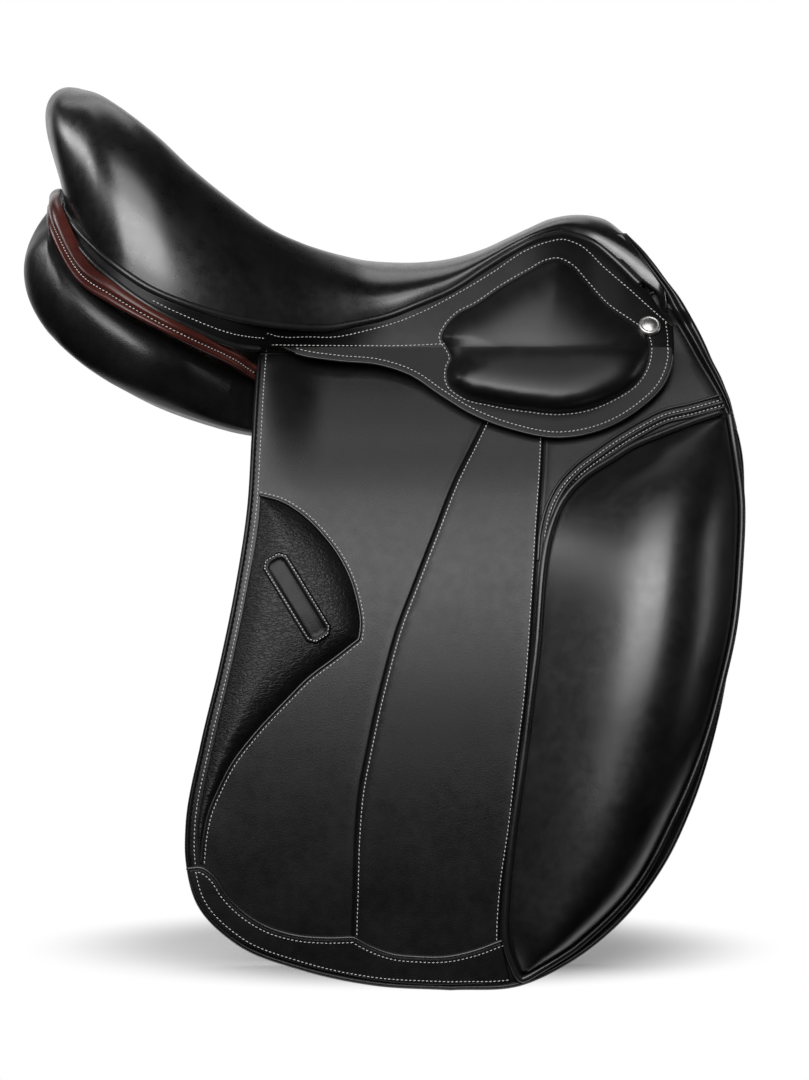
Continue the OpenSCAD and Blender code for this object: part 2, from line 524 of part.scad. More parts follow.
// Skirts
// depth of the rear band under the seat, row by row from the rear middle
BAND = [6, 6, 7, 10, 11, 12, 15, 19];
skirt_rear = -74;
skirt_front = 192;
skirt_tail = 63;
function welt_slope(x) = (along(WELT_Z, x + 2) - along(WELT_Z, x - 2)) / 4;
module skirt_upper(side) color(black) on(side) {
  rear = [for (i = [0 : SIDE_ROW - 1]) let (r = SEAT[i], p = seat_pt(r, 90, 0), q = seat_pt(r, 90, skirt_t))
    [p + [0, i == 0 ? 0.2 : 0, -welt_room], p + [r[6] > 90 ? -1 : 0,
      i == 0 ? 0.2 : i < 6 ? 1 : -2 * (i - 5), -BAND[i] - 2], q + [0, i == 0 ? 0.2 : 0, -welt_room]]];
  xs = concat([-92, skirt_rear - 1], steps(skirt_rear, 110, 12), steps(116, 186, 10), [skirt_front]);
  side_part = [for (x = xs) let (
      top = along(WELT_Z, min(x, 189)) - welt_room * sqrt(1 + pow(welt_slope(min(x, 186)), 2)),
      low = x < skirt_rear ? skirt_tail : fold_h)
    [[x, skirt_out(x, top), top], [x, skirt_out(x, fold_h), low]]];
  outer = [for (k = [0 : 2]) concat([for (c = rear) mix(c[0], c[1], k / 2)],
    [for (c = side_part) mix(c[0], c[1], k / 2)])];
  inner = [for (k = [0 : 2]) concat([for (c = rear) mix(c[0], c[1], k / 2) + c[2] - c[0]],
    [for (c = side_part) mix(c[0], c[1], k / 2) - [0, skirt_t, 0]])];
  slab(outer, inner);
}
SKIRT_LOW = [[-73, 58.5], [-44, 55], [-14, 52], [7, 45], [28, 31], [49, 18], [77, 7], [111, 1],
  [139, 6], [167, 21], [185, 39], [192, 58]];
module skirt_lower(side) color(black) on(side) {
  xs = concat(steps(skirt_rear + 0.5, 110, 12), steps(122, 182, 5), [187, 190, 192]);
  grid = [for (k = [0 : 3]) [for (x = xs) [x, mix(fold_h - fold_gap, along(SKIRT_LOW, x), k / 3)]]];
  slab([for (row = grid) [for (p = row) [p[0], skirt_out(p[0], p[1]), p[1]]]],
    [for (row = grid) [for (p = row) [p[0], skirt_out(p[0], p[1]) - skirt_t, p[1]]]]);
}
PAD_UP_REAR = [[65, 33.5], [72, 29], [79, 32], [88, 40], [95, 53], [108, 72], [119, 91], [126, 106]];
PAD_UP_FRONT = [[65, 171], [75, 166], [82, 158], [95, 144], [112, 130], [121, 121], [126, 113]];
PAD_LOW_REAR = [[19.5, 104], [21, 88], [25, 64], [31, 43], [39, 34], [49, 33], [58, 36], [65, 33.5]];
PAD_LOW_FRONT = [[19.5, 118], [21, 128], [29, 149], [42, 167], [57, 174], [65, 174]];
// swell of a pad across its width
function swell(u, p = 0.5) = pow(max(0, sin(180 * u)), p);
module pad_upper(side) color(black) on(side) rows_piece([126, 123, 117, 109, 100, 91, 82, 75, 69,
  fold_h + fold_gap],
  PAD_UP_REAR, PAD_UP_FRONT, 12, function (x, z) skirt_out(x, z) + 2 * lay,
  function (x, z, u) 1.5 + (pad_upper_t - 1.5) * swell(u) * pow(ease((127 - z) / 40) * mix(0.35, 1,
    ease((z - fold_h) / 16)), 0.8));
module pad_lower(side) color(black) on(side) rows_piece([fold_h - fold_gap - 0.2, 62, 57, 50, 43, 36,
  30, 25, 21.5, 19.5],
  PAD_LOW_REAR, PAD_LOW_FRONT, 12, function (x, z) skirt_out(x, z) + 2 * lay,
  function (x, z, u) 1.5 + (pad_lower_t - 1.5) * swell(u) * pow(ease((z - 18.5) / 18) * mix(0.3, 1,
    ease((fold_h - z) / 12)), 0.8));
nail_x = 176;
nail_z = 79;
module saddle_nail(side) color(steel) on(side) {
  a = atan2(skirt_out(nail_x, nail_z - 2) - skirt_out(nail_x, nail_z + 2), 4);
  dome_r = 2 * nail_r;
  translate([nail_x, skirt_out(nail_x, nail_z), nail_z]) rotate([a - 90, 0, 0]) translate([0, 0,
    2 * lay + 0.4]) {
    cylinder(r = nail_r, h = 1.2);
    intersection() {
      translate([0, 0, 4 - dome_r]) sphere(r = dome_r);
      translate([0, 0, 0.6]) cylinder(r = nail_r - 0.6, h = 6);
    }
  }
}

// Flap and what it carries
flap_d = flap_drop - 381;
// heights below the knee stretch with the flap
function low(z) = z - flap_d * ease((-60 - z) / 300);
FLAP_REAR = [for (p = [[-381, 12], [-378, -17], [-367, -69], [-350, -112], [-322, -140], [-291, -148],
  [-267, -148], [-212, -138],
  [-157, -125], [-102, -114], [-46, -106], [0, -103.5], [62, -100]]) [low(p[0]), p[1]]];
FLAP_FRONT = [for (p = [[-381, 58], [-378, 83], [-364, 114], [-336, 150.5], [-295, 182.5], [-253, 202.5],
  [-198, 219.5], [-143, 230], [-88, 237.5],
  [-42, 240], [-5, 238.5], [8, 235.5], [24, 229], [36, 223.2], [54, 213], [62, 208.6]]) [low(p[0]), p[1]]];
FLAP_ZS = concat([flap_top], [for (z = [42, 21, 0, -22, -46, -74, -104, -138, -174, -210, -246, -276,
  -300, -322, -342, -358, -371, -381]) low(z)]);
module flap(side) color(black) on(side) rows_piece(FLAP_ZS, FLAP_REAR, FLAP_FRONT, 13,
  function (x, z) flap_out(x, z) - flap_t, function (x, z, u) flap_t);
HEAD_REAR = [[62.5, 184], [84, 184]];
HEAD_FRONT = [[62.5, 208.4], [72.6, 203], [84, 196.6]];
module flap_head(side) color(black) on(side) rows_piece([84, 77, 70, flap_top + fold_gap],
  HEAD_REAR, HEAD_FRONT, 4, function (x, z) flap_out(x, z) - 3.2, function (x, z, u) 3.2);
// strip along the front of the flap and the pommel, which it lies on above the flap's head
FACE_REAR = [[28, 227.8], [36, 224], [54, 214], [72.6, 204], [92.3, 192.6], [106.8, 185.6], [121.3, 175.4],
  [136, 165.2], [147, 157]];
FACE_FRONT = [[28, 231.8], [34, 229.4], [45, 224.8], [56, 219.4], [67.5, 214.7], [79, 209.3], [90, 203.2],
  [101.7, 196.3], [113, 187.9], [124.5, 179.7], [136, 170.7], [147, 160]];
function face_base(x, z) = flap_out(x, z) - 3.2 + 5.2 * ease((z - 80) / 14) - 7 * ease((z - 122) / 25);
module front_facing(side) color(black) on(side) rows_piece([147, 138, 128, 118, 108, 98, 90, 82, 72, 60,
  48, 38, 28],
  FACE_REAR, FACE_FRONT, 3, function (x, z) face_base(x, z), function (x, z, u) 2.5);
BLOCK_REAR = [for (p = [[-369, 83], [-354, 77], [-341, 75], [-315, 76], [-275, 80], [-218, 88],
  [-177, 93], [-144, 97], [-94, 101], [-70, 105],
  [-50, 112], [-38, 120], [-27, 132], [-17, 148], [-7, 164], [1, 183], [10, 206],
    [16, 224]]) [low(p[0]), p[1]]];
BLOCK_FRONT = [for (p = [[-369, 88], [-347, 122], [-309, 160], [-256, 189], [-210, 208], [-160, 222],
  [-127, 229], [-87, 233], [-46, 235],
  [-14, 232], [16, 228]]) [low(p[0]), p[1]]];
// height of the knee block along its length, and across it with the steep face to the rear
BLOCK_RISE = [for (p = [[-369, 0.05], [-354, 0.28], [-335, 0.46], [-303, 0.62], [-262, 0.76],
  [-218, 0.86], [-177, 0.94], [-120, 1], [-94, 1],
  [-65, 0.95], [-38, 0.8], [-17, 0.58], [1, 0.3], [16, 0.05]]) [low(p[0]), p[1]]];
function block_rise(z, u) = 2 + (block_t - 2) * along(BLOCK_RISE, z) * swell(pow(u, 0.75), 0.6);
BLOCK_ZS = [for (z = [16, 10, 2, -7, -17, -28, -40, -54, -72, -94, -120, -148, -177, -206, -236, -264,
  -290, -312, -331, -347, -360, -369]) low(z)];
module knee_block(side) color(black) on(side) rows_piece(BLOCK_ZS, BLOCK_REAR, BLOCK_FRONT, 11,
  function (x, z) flap_out(x, z) + lay, function (x, z, u) block_rise(z, u));
module block_piping(side) color(black) on(side) {
  beside = function (t, z, s) let (m = (along(t, z + 1) - along(t, z - 1)) / 2)
    [along(t, z), z] + s * (piping_r + 1) * [1, -m] / sqrt(1 + m * m);
  path = concat([for (z = BLOCK_ZS) beside(BLOCK_REAR, z, -1)], [[84, low(-369) - piping_r - 2]],
    [for (i = [len(BLOCK_ZS) - 1 : -1 : 0]) beside(BLOCK_FRONT, BLOCK_ZS[i], 1)]);
  cord([for (p = path) [p[0], flap_out(p[0], p[1]) + piping_r + 1.5 * lay, p[1]]], piping_r, [0, 1, 0], 5);
}
THIGH_REAR = [[-262, -134], [-255, -133], [-232, -129], [-209, -125], [-190, -121], [-172, -117],
  [-155, -113], [-140, -110], [-108, -105], [-70, -100], [-40, -97]];
THIGH_FRONT = [[-262, -132], [-255, -129], [-232, -119], [-209, -105], [-190, -88], [-172, -70],
  [-155, -49], [-145, -36], [-138, -30], [-128, -28], [-108, -31],
  [-88, -39.5], [-70, -51], [-53, -69], [-44, -84], [-40, -94]];
function thigh_h(x, z) = let (a = along(THIGH_REAR, z), b = along(THIGH_FRONT, z), u = min(1, max(0,
  (x - a) / (b - a))))
  1 + (thigh_t - 1) * swell(u) * sqrt(ease((z + 265) / 90) * ease((-36 - z) / 40));
module thigh_pad(side) color(black) on(side) rows_piece([-40, -46, -57, -70, -85, -100, -115, -128,
  -138, -147, -160, -180, -206, -236, -262],
  THIGH_REAR, THIGH_FRONT, 7, function (x, z) flap_out(x, z) + lay, function (x, z, u) thigh_h(x, z));
// elongated patch with six corners, its long axis leaning forward as it goes down
patch_mid = [-71, -110];
patch_lean = 31.5;
module keeper_patch(side) color(black) on(side) {
  half_l = patch_len / 2;
  half_w = patch_w / 2;
  grid = [for (v = [half_l, half_l - 5, half_l - 10, half_l / 3, -half_l / 3, 10 - half_l, 5 - half_l,
    -half_l]) let (w = min(half_w, 4 + (half_l - abs(v)) * 0.6))
    [for (j = [-2 : 2]) let (a = w * j / 2)
      [patch_mid[0] + a * cos(patch_lean) - v * sin(patch_lean),
        patch_mid[1] + a * sin(patch_lean) + v * cos(patch_lean)]]];
  face = function (p, t) [p[0], flap_out(p[0], p[1]) + lay + thigh_h(p[0], p[1]) + 0.9 + t, p[1]];
  slab([for (row = grid) [for (p = row) face(p, 2)]], [for (row = grid) [for (p = row) face(p, 0)]]);
}
GUARD_TOP = [[-146, -298], [-137, -297], [-129, -302], [-121, -314], [-107, -328], [-90, -338],
  [-73, -343], [-50, -345], [-32, -345], [-20, -351],
  [-6, -356], [12, -358], [32, -358], [51, -354], [69, -348]];
GUARD_LOW = [[-146, -300.5], [-143, -310], [-138.5, -319], [-130, -330], [-118, -341], [-101, -350],
  [-83, -357], [-61, -364], [-38, -369], [-22, -372],
  [-6, -374.5], [12, -376], [34, -376.5], [56, -375.5], [73, -373]];
module lower_guard(side) color(black) on(side) {
  N = 28;
  grid = [for (k = [0 : 2]) [for (i = [0 : N]) mix(curve(GUARD_TOP, i / N), curve(GUARD_LOW, i / N),
    k / 2)]];
  face = function (p, t) let (z = low(p[1])) [p[0], flap_out(p[0], z) + lay + t, z];
  slab([for (row = grid) [for (p = row) face(p, guard_t)]], [for (row = grid) [for (p = row) face(p, 0)]]);
}
SWEAT_REAR = [[-347, 20], [-343, -40], [-328, -95], [-300, -122], [-262, -126], [-212, -118],
  [-157, -108], [-100, -98], [-46, -92], [0, -90], [45, -88]];
SWEAT_FRONT = [[-347, 42], [-342, 80], [-322, 130], [-290, 166], [-250, 189], [-198, 207],
  [-143, 219], [-90, 228], [-46, 233], [0, 230], [24, 220], [45, 209]];
module sweat_flap(side) color(black) on(side) rows_piece([sweat_top, 25, 5, -15, -38, -64, -94, -128,
  -164, -202, -238, -268, -294, -314, -329, -340, -347],
  SWEAT_REAR, SWEAT_FRONT, 8, function (x, z) sweat_out(x, z) - sweat_t, function (x, z, u) sweat_t);

tree();
tree_head();
head_plate();
seat_webs();
seat_foam();
seat_cover();
seat_welt();
gullet_lining();
cantle_strip();
stirrup_bar("left");  // stirrup_bar_left
thumb_catch("left");  // thumb_catch_left
catch_pin("left");  // catch_pin_left
bar_rivets("left");  // bar_rivets_left
girth_webs("left");  // girth_webs_left
panel("left");  // panel_left
skirt_upper("left");  // skirt_upper_left
skirt_lower("left");  // skirt_lower_left
pad_upper("left");  // pad_upper_left
pad_lower("left");  // pad_lower_left
saddle_nail("left");  // saddle_nail_left
flap_head("left");  // flap_head_left
front_facing("left");  // front_facing_left
flap("left");  // flap_left
knee_block("left");  // knee_block_left
block_piping("left");  // block_piping_left
thigh_pad("left");  // thigh_pad_left
keeper_patch("left");  // keeper_patch_left
lower_guard("left");  // lower_guard_left
sweat_flap("left");  // sweat_flap_left
billet(strap_xs[0], "left");  // billet_front_left
billet(strap_xs[1], "left");  // billet_rear_left
stirrup_bar("right");  // stirrup_bar_right
thumb_catch("right");  // thumb_catch_right
catch_pin("right");  // catch_pin_right
bar_rivets("right");  // bar_rivets_right
girth_webs("right");  // girth_webs_right
panel("right");  // panel_right
skirt_upper("right");  // skirt_upper_right
skirt_lower("right");  // skirt_lower_right
pad_upper("right");  // pad_upper_right
pad_lower("right");  // pad_lower_right
saddle_nail("right");  // saddle_nail_right
flap_head("right");  // flap_head_right
front_facing("right");  // front_facing_right
flap("right");  // flap_right
knee_block("right");  // knee_block_right
block_piping("right");  // block_piping_right
thigh_pad("right");  // thigh_pad_right
keeper_patch("right");  // keeper_patch_right
lower_guard("right");  // lower_guard_right
sweat_flap("right");  // sweat_flap_right
billet(strap_xs[0], "right");  // billet_front_right
billet(strap_xs[1], "right");  // billet_rear_right
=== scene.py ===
"""Looks of a dressage saddle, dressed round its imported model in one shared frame.

Lengths are written in millimetres, as in the part's source, and become metres in the meshes.
+X is forward, +Z is up, and a side's faces are given as distances out from the middle.
"""

import json
import logging
import math
from collections.abc import Callable, Sequence
from dataclasses import dataclass, field
from enum import Enum

import bmesh
import bpy
import numpy as np
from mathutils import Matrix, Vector
from mathutils.geometry import delaunay_2d_cdt

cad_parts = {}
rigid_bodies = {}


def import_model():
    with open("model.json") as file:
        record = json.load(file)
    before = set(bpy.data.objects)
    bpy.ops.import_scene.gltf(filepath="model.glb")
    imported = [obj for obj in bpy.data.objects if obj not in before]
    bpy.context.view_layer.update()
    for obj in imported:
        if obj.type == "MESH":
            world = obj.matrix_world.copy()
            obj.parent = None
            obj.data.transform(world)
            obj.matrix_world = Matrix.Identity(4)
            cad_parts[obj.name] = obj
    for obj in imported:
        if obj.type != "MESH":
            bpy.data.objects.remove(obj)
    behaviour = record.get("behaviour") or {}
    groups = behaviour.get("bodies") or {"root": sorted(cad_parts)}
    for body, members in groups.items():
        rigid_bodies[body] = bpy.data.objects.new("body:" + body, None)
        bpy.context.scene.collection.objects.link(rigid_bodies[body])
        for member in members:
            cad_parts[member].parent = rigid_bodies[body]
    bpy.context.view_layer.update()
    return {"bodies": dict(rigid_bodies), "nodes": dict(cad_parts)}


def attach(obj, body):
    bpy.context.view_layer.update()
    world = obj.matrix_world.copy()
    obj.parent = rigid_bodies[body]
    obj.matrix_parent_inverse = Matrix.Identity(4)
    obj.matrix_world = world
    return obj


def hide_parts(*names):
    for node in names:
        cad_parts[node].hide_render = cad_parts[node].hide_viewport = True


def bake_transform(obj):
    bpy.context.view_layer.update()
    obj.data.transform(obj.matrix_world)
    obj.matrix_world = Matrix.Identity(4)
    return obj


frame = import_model()
LOG = logging.getLogger("saddle")

MM = 0.001
ROOT = "saddle_body"
Array = np.ndarray
Face = Callable[[Array, Array], Array]
Height = Callable[[Array, Array, Array], Array]
Table = tuple[tuple[float, ...], ...]
Colour = tuple[float, float, float]
Socket = bpy.types.NodeSocket
Inputs = dict[str | int, object]
UP = np.array([0.0, 0.0, 1.0])
MIRROR = np.array([1.0, -1.0, 1.0])


class Side(Enum):
    """The two sides of the saddle, with the sign of their Y."""

    LEFT = 1
    RIGHT = -1

    @property
    def word(self) -> str:
        """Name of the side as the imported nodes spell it."""
        return self.name.lower()


class Slot(Enum):
    """Names of material slots in the record."""

    BLACK = "black_leather"
    BROWN = "brown_leather"
    NAIL = "nail_metal"
    WEBBING = "webbing"


# Curves and distances

def ease(t: Array | float) -> Array:
    """Smooth step from 0 to 1, held at its ends."""
    u = np.clip(t, 0.0, 1.0)
    return u * u * (3.0 - 2.0 * u)


def ramp(value: Array, start: float, end: float) -> Array:
    """Smooth step from 0 where the value is at its start to 1 at its end."""
    return ease((value - start) / (end - start))


def bump(value: Array, width: float) -> Array:
    """Rounded peak of height 1 where the value is 0."""
    return np.exp(-(value / width) ** 2)


def mix(a: Array | float, b: Array | float, t: Array | float) -> Array:
    """Value at share t of the way from a to b."""
    return a + (b - a) * t


def unit(v: Array) -> Array:
    """Vectors scaled to length 1."""
    return v / np.maximum(np.linalg.norm(v, axis=-1, keepdims=True), 1e-9)


def hermite(u: Array, h: Array, a: Array, b: Array, rate_a: Array, rate_b: Array) -> Array:
    """Cubic at share u of a way of length h, from a with slope rate_a to b with slope rate_b."""
    v = 1.0 - u
    return (v * v * (1 + 2 * u) * a + u * v * v * h * rate_a
            + u * u * (1 + 2 * v) * b - u * u * v * h * rate_b)


def catmull(a: Array, b: Array, c: Array, d: Array, u: Array) -> Array:
    """Smooth value at share u of the way from b to c, with a before them and d after."""
    return 0.5 * (2 * b + (c - a) * u + (2 * a - 5 * b + 4 * c - d) * u * u
                  + (3 * b - a - 3 * c + d) * u ** 3)


def read_rows(padded: Array, s: Array) -> Array:
    """Smooth values at row numbers s, between rows with one more row at each end."""
    k = np.clip(np.floor(s).astype(int), 0, len(padded) - 4)
    return catmull(*(padded[k + i] for i in range(4)), (s - k)[:, None])


def along_points(points: Array, s: Array) -> Array:
    """Smooth line through points, read at point numbers with shares."""
    return read_rows(np.vstack([2 * points[:1] - points[1:2], points, 2 * points[-1:] - points[-2:-1]]), s)


@dataclass(frozen=True)
class Profile:
    """Smooth curve of values through (place, value) pairs."""

    pairs: Table

    def __call__(self, place: Array | float) -> Array:
        """Value of the curve.

        Args:
            place: Where to read it; places outside the pairs take the end values.

        Returns:
            The values, with the shape of place.
        """
        xs, ys = np.array(self.pairs, float).T
        last = len(xs) - 1
        low = np.maximum(np.arange(last + 1) - 1, 0)
        high = np.minimum(np.arange(last + 1) + 1, last)
        rate = (ys[high] - ys[low]) / (xs[high] - xs[low])
        x = np.asarray(place, float)
        i = np.clip(np.searchsorted(xs, x, side="right") - 1, 0, last - 1)
        h = xs[i + 1] - xs[i]
        u = np.clip((x - xs[i]) / h, 0.0, 1.0)
        return hermite(u, h, ys[i], ys[i + 1], rate[i], rate[i + 1])

    def line(self, z: Array, step: float) -> Array:
        """Side-view line whose places along the saddle are read at heights z."""
        return even(np.stack([self(z), z], axis=1), step)


def even(line: Array | Sequence[Sequence[float]], step: float) -> Array:
    """Points spaced evenly along a line.

    Args:
        line: Points of the line.
        step: Spacing wanted, in the line's own unit.

    Returns:
        The new points, from the first to the last.
    """
    line = np.asarray(line, float)
    run = np.concatenate([[0.0], np.cumsum(np.linalg.norm(np.diff(line, axis=0), axis=1))])
    count = max(2, int(round(run[-1] / step)) + 1)
    at = np.linspace(0.0, run[-1], count)
    return np.stack([np.interp(at, run, line[:, k]) for k in range(line.shape[1])], axis=1)


def spline(points: Sequence[Sequence[float]], step: float, closed: bool = False) -> Array:
    """Smooth line through points, spaced evenly.

    Args:
        points: Points that the line goes through.
        step: Spacing of the points that come back.
        closed: Whether the line runs back to its first point.

    Returns:
        Points of the line; a closed line doesn't repeat its first point.
    """
    p = np.array(points, float)
    if closed:
        p = np.vstack([p[-2:], p, p[:3]])
    gap = np.maximum(np.linalg.norm(np.diff(p, axis=0), axis=1), 1e-9)[:, None]
    slope = np.diff(p, axis=0) / gap
    inner = (slope[:-1] * gap[1:] + slope[1:] * gap[:-1]) / (gap[1:] + gap[:-1])
    rate = np.vstack([slope[:1], inner, slope[-1:]])
    u = np.linspace(0.0, 1.0, 13)[:-1, None]
    first, final = (2, len(p) - 3) if closed else (0, len(p) - 1)
    parts = [hermite(u, gap[k], p[k], p[k + 1], rate[k], rate[k + 1]) for k in range(first, final)]
    line = even(np.vstack([*parts, p[final:final + 1]]), step)
    return line[:-1] if closed else line


def outline(*runs: Array) -> Array:
    """Closed outline made of runs that meet in corners.

    Args:
        runs: Lines in order, each starting where the one before ends.

    Returns:
        Points of the outline, turning anticlockwise with X to the right and Z up.
    """
    edge = np.vstack([run[:-1] for run in runs])
    edge = edge[np.linalg.norm(edge - np.roll(edge, 1, axis=0), axis=1) > 0.05]
    ahead = np.roll(edge, -1, axis=0)
    area = np.sum(edge[:, 0] * ahead[:, 1] - ahead[:, 0] * edge[:, 1])
    return edge if area > 0 else edge[::-1]


def polygon(corners: list[tuple[float, float]], step: float) -> Array:
    """Closed outline with straight sides between corners."""
    return outline(*[even([p, q], step) for p, q in zip(corners, corners[1:] + corners[:1])])


def distance(points: Array, line: Array, closed: bool = False) -> Array:
    """Distance of points from a line.

    Args:
        points: Points to measure.
        line: Points of the line.
        closed: Whether the line runs back to its first point.

    Returns:
        One distance for each point.
    """
    a = line if closed else line[:-1]
    b = np.roll(line, -1, axis=0) if closed else line[1:]
    run = b - a
    square = np.maximum((run * run).sum(axis=1), 1e-12)
    batch = 3000
    found = [np.zeros(0)]
    for k in range(0, len(points), batch):
        p = points[k:k + batch, None, :]
        t = np.clip(((p - a) * run).sum(axis=2) / square, 0.0, 1.0)
        found.append(np.sqrt((((a + t[..., None] * run) - p) ** 2).sum(axis=2).min(axis=1)))
    return np.concatenate(found)


def inside(points: Array, edge: Array) -> Array:
    """Whether points lie inside a closed outline.

    Args:
        points: Points to test.
        edge: Points of the outline.

    Returns:
        One truth value for each point.
    """
    a, b = edge, np.roll(edge, -1, axis=0)
    rise = np.where(np.abs(b[:, 1] - a[:, 1]) < 1e-12, 1e-12, b[:, 1] - a[:, 1])
    batch = 4000
    found = [np.zeros(0, bool)]
    for k in range(0, len(points), batch):
        x, z = points[k:k + batch, 0:1], points[k:k + batch, 1:2]
        crosses = (a[:, 1] > z) != (b[:, 1] > z)
        at = a[:, 0] + (z - a[:, 1]) / rise * (b[:, 0] - a[:, 0])
        found.append((crosses & (x < at)).sum(axis=1) % 2 == 1)
    return np.concatenate(found)


def beside(line: Array, gap: float, closed: bool = False) -> Array:
    """Line that runs beside another.

    Args:
        line: Points in the side view.
        gap: Distance to the left of the line's run, or to its right where negative.
        closed: Whether the line runs back to its first point.

    Returns:
        One point for each point of the line.
    """
    if closed:
        run = np.roll(line, -1, axis=0) - np.roll(line, 1, axis=0)
    else:
        run = np.gradient(line, axis=0)
    run = unit(run)
    return line + gap * np.stack([-run[:, 1], run[:, 0]], axis=1)


def level_cut(edge: Array, height: float, above: bool, step: float) -> Array:
    """Part of a closed outline on one side of a level line.

    Args:
        edge: Points of the outline.
        height: Height of the level line.
        above: Whether the part above is kept.
        step: Spacing of the points along the cut.

    Returns:
        The closed outline of that part.
    """
    sign = 1.0 if above else -1.0
    kept: list[Array] = []
    for p, q in zip(edge, np.roll(edge, -1, axis=0)):
        a, b = sign * (p[1] - height), sign * (q[1] - height)
        if a >= 0:
            kept.append(p)
        if (a > 0 > b) or (a < 0 < b):
            kept.append(p + (q - p) * a / (a - b))
    part = np.array(kept)
    cut = int(np.argmax(np.linalg.norm(np.roll(part, -1, axis=0) - part, axis=1)))
    part = np.roll(part, -cut - 1, axis=0)
    return np.vstack([part, even([part[-1], part[0]], step)[1:-1]])


def runs_of(line: Array, keep: Array) -> list[Array]:
    """Unbroken stretches of a line.

    Args:
        line: Points of the line.
        keep: Which points are kept.

    Returns:
        The stretches with three points or more.
    """
    found: list[list[Array]] = [[]]
    for p, k in zip(line, keep):
        if k:
            found[-1].append(p)
        elif found[-1]:
            found.append([])
    return [np.array(run) for run in found if len(run) > 2]


def rounded(d: Array, radius: float) -> Array:
    """Share of the full thickness at distance d from a rounded edge."""
    return np.sqrt(np.maximum(0.0, 1.0 - (1.0 - np.minimum(d, radius) / radius) ** 2))


def level_out(run: Array) -> Array:
    """Level directions to the left of runs in space."""
    return unit(np.stack([-run[..., 1], run[..., 0], np.zeros_like(run[..., 0])], axis=-1))


def ringed(line: Array) -> Array:
    """Closed line with its first point repeated at its end."""
    return np.vstack([line, line[:1]])


# Shared faces of the saddle's side

FOLD = 65.0
BARREL = Profile(((-400, 168), (-280, 173), (-180, 169), (-100, 158), (-40, 141), (0, 122), (30, 106),
                  (65, 86), (100, 72), (125, 63), (160, 50)))
FOLD_OUT = Profile(((-104, 120), (-92, 112), (-75, 105), (-60, 103), (-46, 101.5), (-10, 99), (20, 98),
                    (100, 98), (195, 98)))
SKIRT_SLOPE = 0.46
WELT_R = 2.2
LAY = 0.4
FLAP_T = 4.0
FLAP_WRAP = 14.0
WRAP_FROM, WRAP_RUN = 90.0, 150.0
FLAP_FLARE = 16.0
STRAP_ROOM = 14.0
FRONT_ROOM = (1.0, 5.5)
WRAP_Z = (60.0, -20.0)
FLARE_X = (-50.0, -100.0)
FLARE_Z = (-60.0, 50.0)
ROOM_X = (110.0, 190.0)
ROOM_Z = (-20.0, 50.0)


def flap_wrap(x: Array, z: Array) -> Array:
    """Inward wrap of the flap towards its front edge."""
    return FLAP_WRAP * (np.maximum(0.0, x - WRAP_FROM) / WRAP_RUN) ** 2 * ramp(z, *WRAP_Z)


def flap_out(x: Array, z: Array) -> Array:
    """Flap's outer face as a distance from the middle."""
    flare = FLAP_FLARE * ramp(x, *FLARE_X) * ramp(z, *FLARE_Z)
    return BARREL(z) + flare - flap_wrap(x, z)


def sweat_out(x: Array, z: Array) -> Array:
    """Sweat flap's outer face as a distance from the middle."""
    front_room = mix(*FRONT_ROOM, ramp(z, *ROOM_Z))
    return flap_out(x, z) - FLAP_T - mix(STRAP_ROOM, front_room, ramp(x, *ROOM_X))


def normals(face: Face, x: Array, z: Array) -> Array:
    """Outward directions of a side face.

    Args:
        face: The face, as a distance from the middle.
        x: Places along the saddle.
        z: Heights.

    Returns:
        Unit vectors for the left side.
    """
    tiny = 0.5
    return unit(np.stack([-(face(x + tiny, z) - face(x - tiny, z)) / (2 * tiny), np.ones_like(x),
                          -(face(x, z + tiny) - face(x, z - tiny)) / (2 * tiny)], axis=1))


def on_face(face: Face, line: Array, lift: float = 0.0) -> tuple[Array, Array]:
    """Side-view line laid on a face.

    Args:
        face: The face, as a distance from the middle.
        line: Points in the side view.
        lift: How far the points stand off the face.

    Returns:
        Points in space and the face's outward directions there.
    """
    x, z = line[:, 0], line[:, 1]
    n = normals(face, x, z)
    return np.stack([x, face(x, z), z], axis=1) + lift * n, n


# Finishes

class Nodes:
    """Node tree with short calls to add and join nodes."""

    def __init__(self, tree: bpy.types.NodeTree) -> None:
        """Keeps the tree."""
        self.tree = tree

    def add(self, kind: str, inputs: Inputs | None = None, **settings: object) -> bpy.types.Node:
        """Adds a node.

        Args:
            kind: Blender's name of the node type.
            inputs: Values or sockets for its inputs, by name or number.
            settings: Properties of the node.

        Returns:
            The new node.
        """
        node = self.tree.nodes.new(kind)
        for key, value in settings.items():
            setattr(node, key, value)
        for key, value in (inputs or {}).items():
            self.put(node.inputs[key], value)
        return node

    def put(self, socket: Socket, value: object) -> None:
        """Sets an input.

        Args:
            socket: The input.
            value: Socket to link to it, or its own value.
        """
        if isinstance(value, Socket):
            self.tree.links.new(value, socket)
        else:
            socket.default_value = value

    def maths(self, kind: str, a: object, b: object) -> Socket:
        """Sum, product or other result of two values."""
        return self.add("ShaderNodeMath", {0: a, 1: b}, operation=kind).outputs[0]

    def vectors(self, kind: str, *values: object) -> Socket:
        """Sum, product or other vector made of vectors."""
        return self.add("ShaderNodeVectorMath", dict(enumerate(values)), operation=kind).outputs[0]


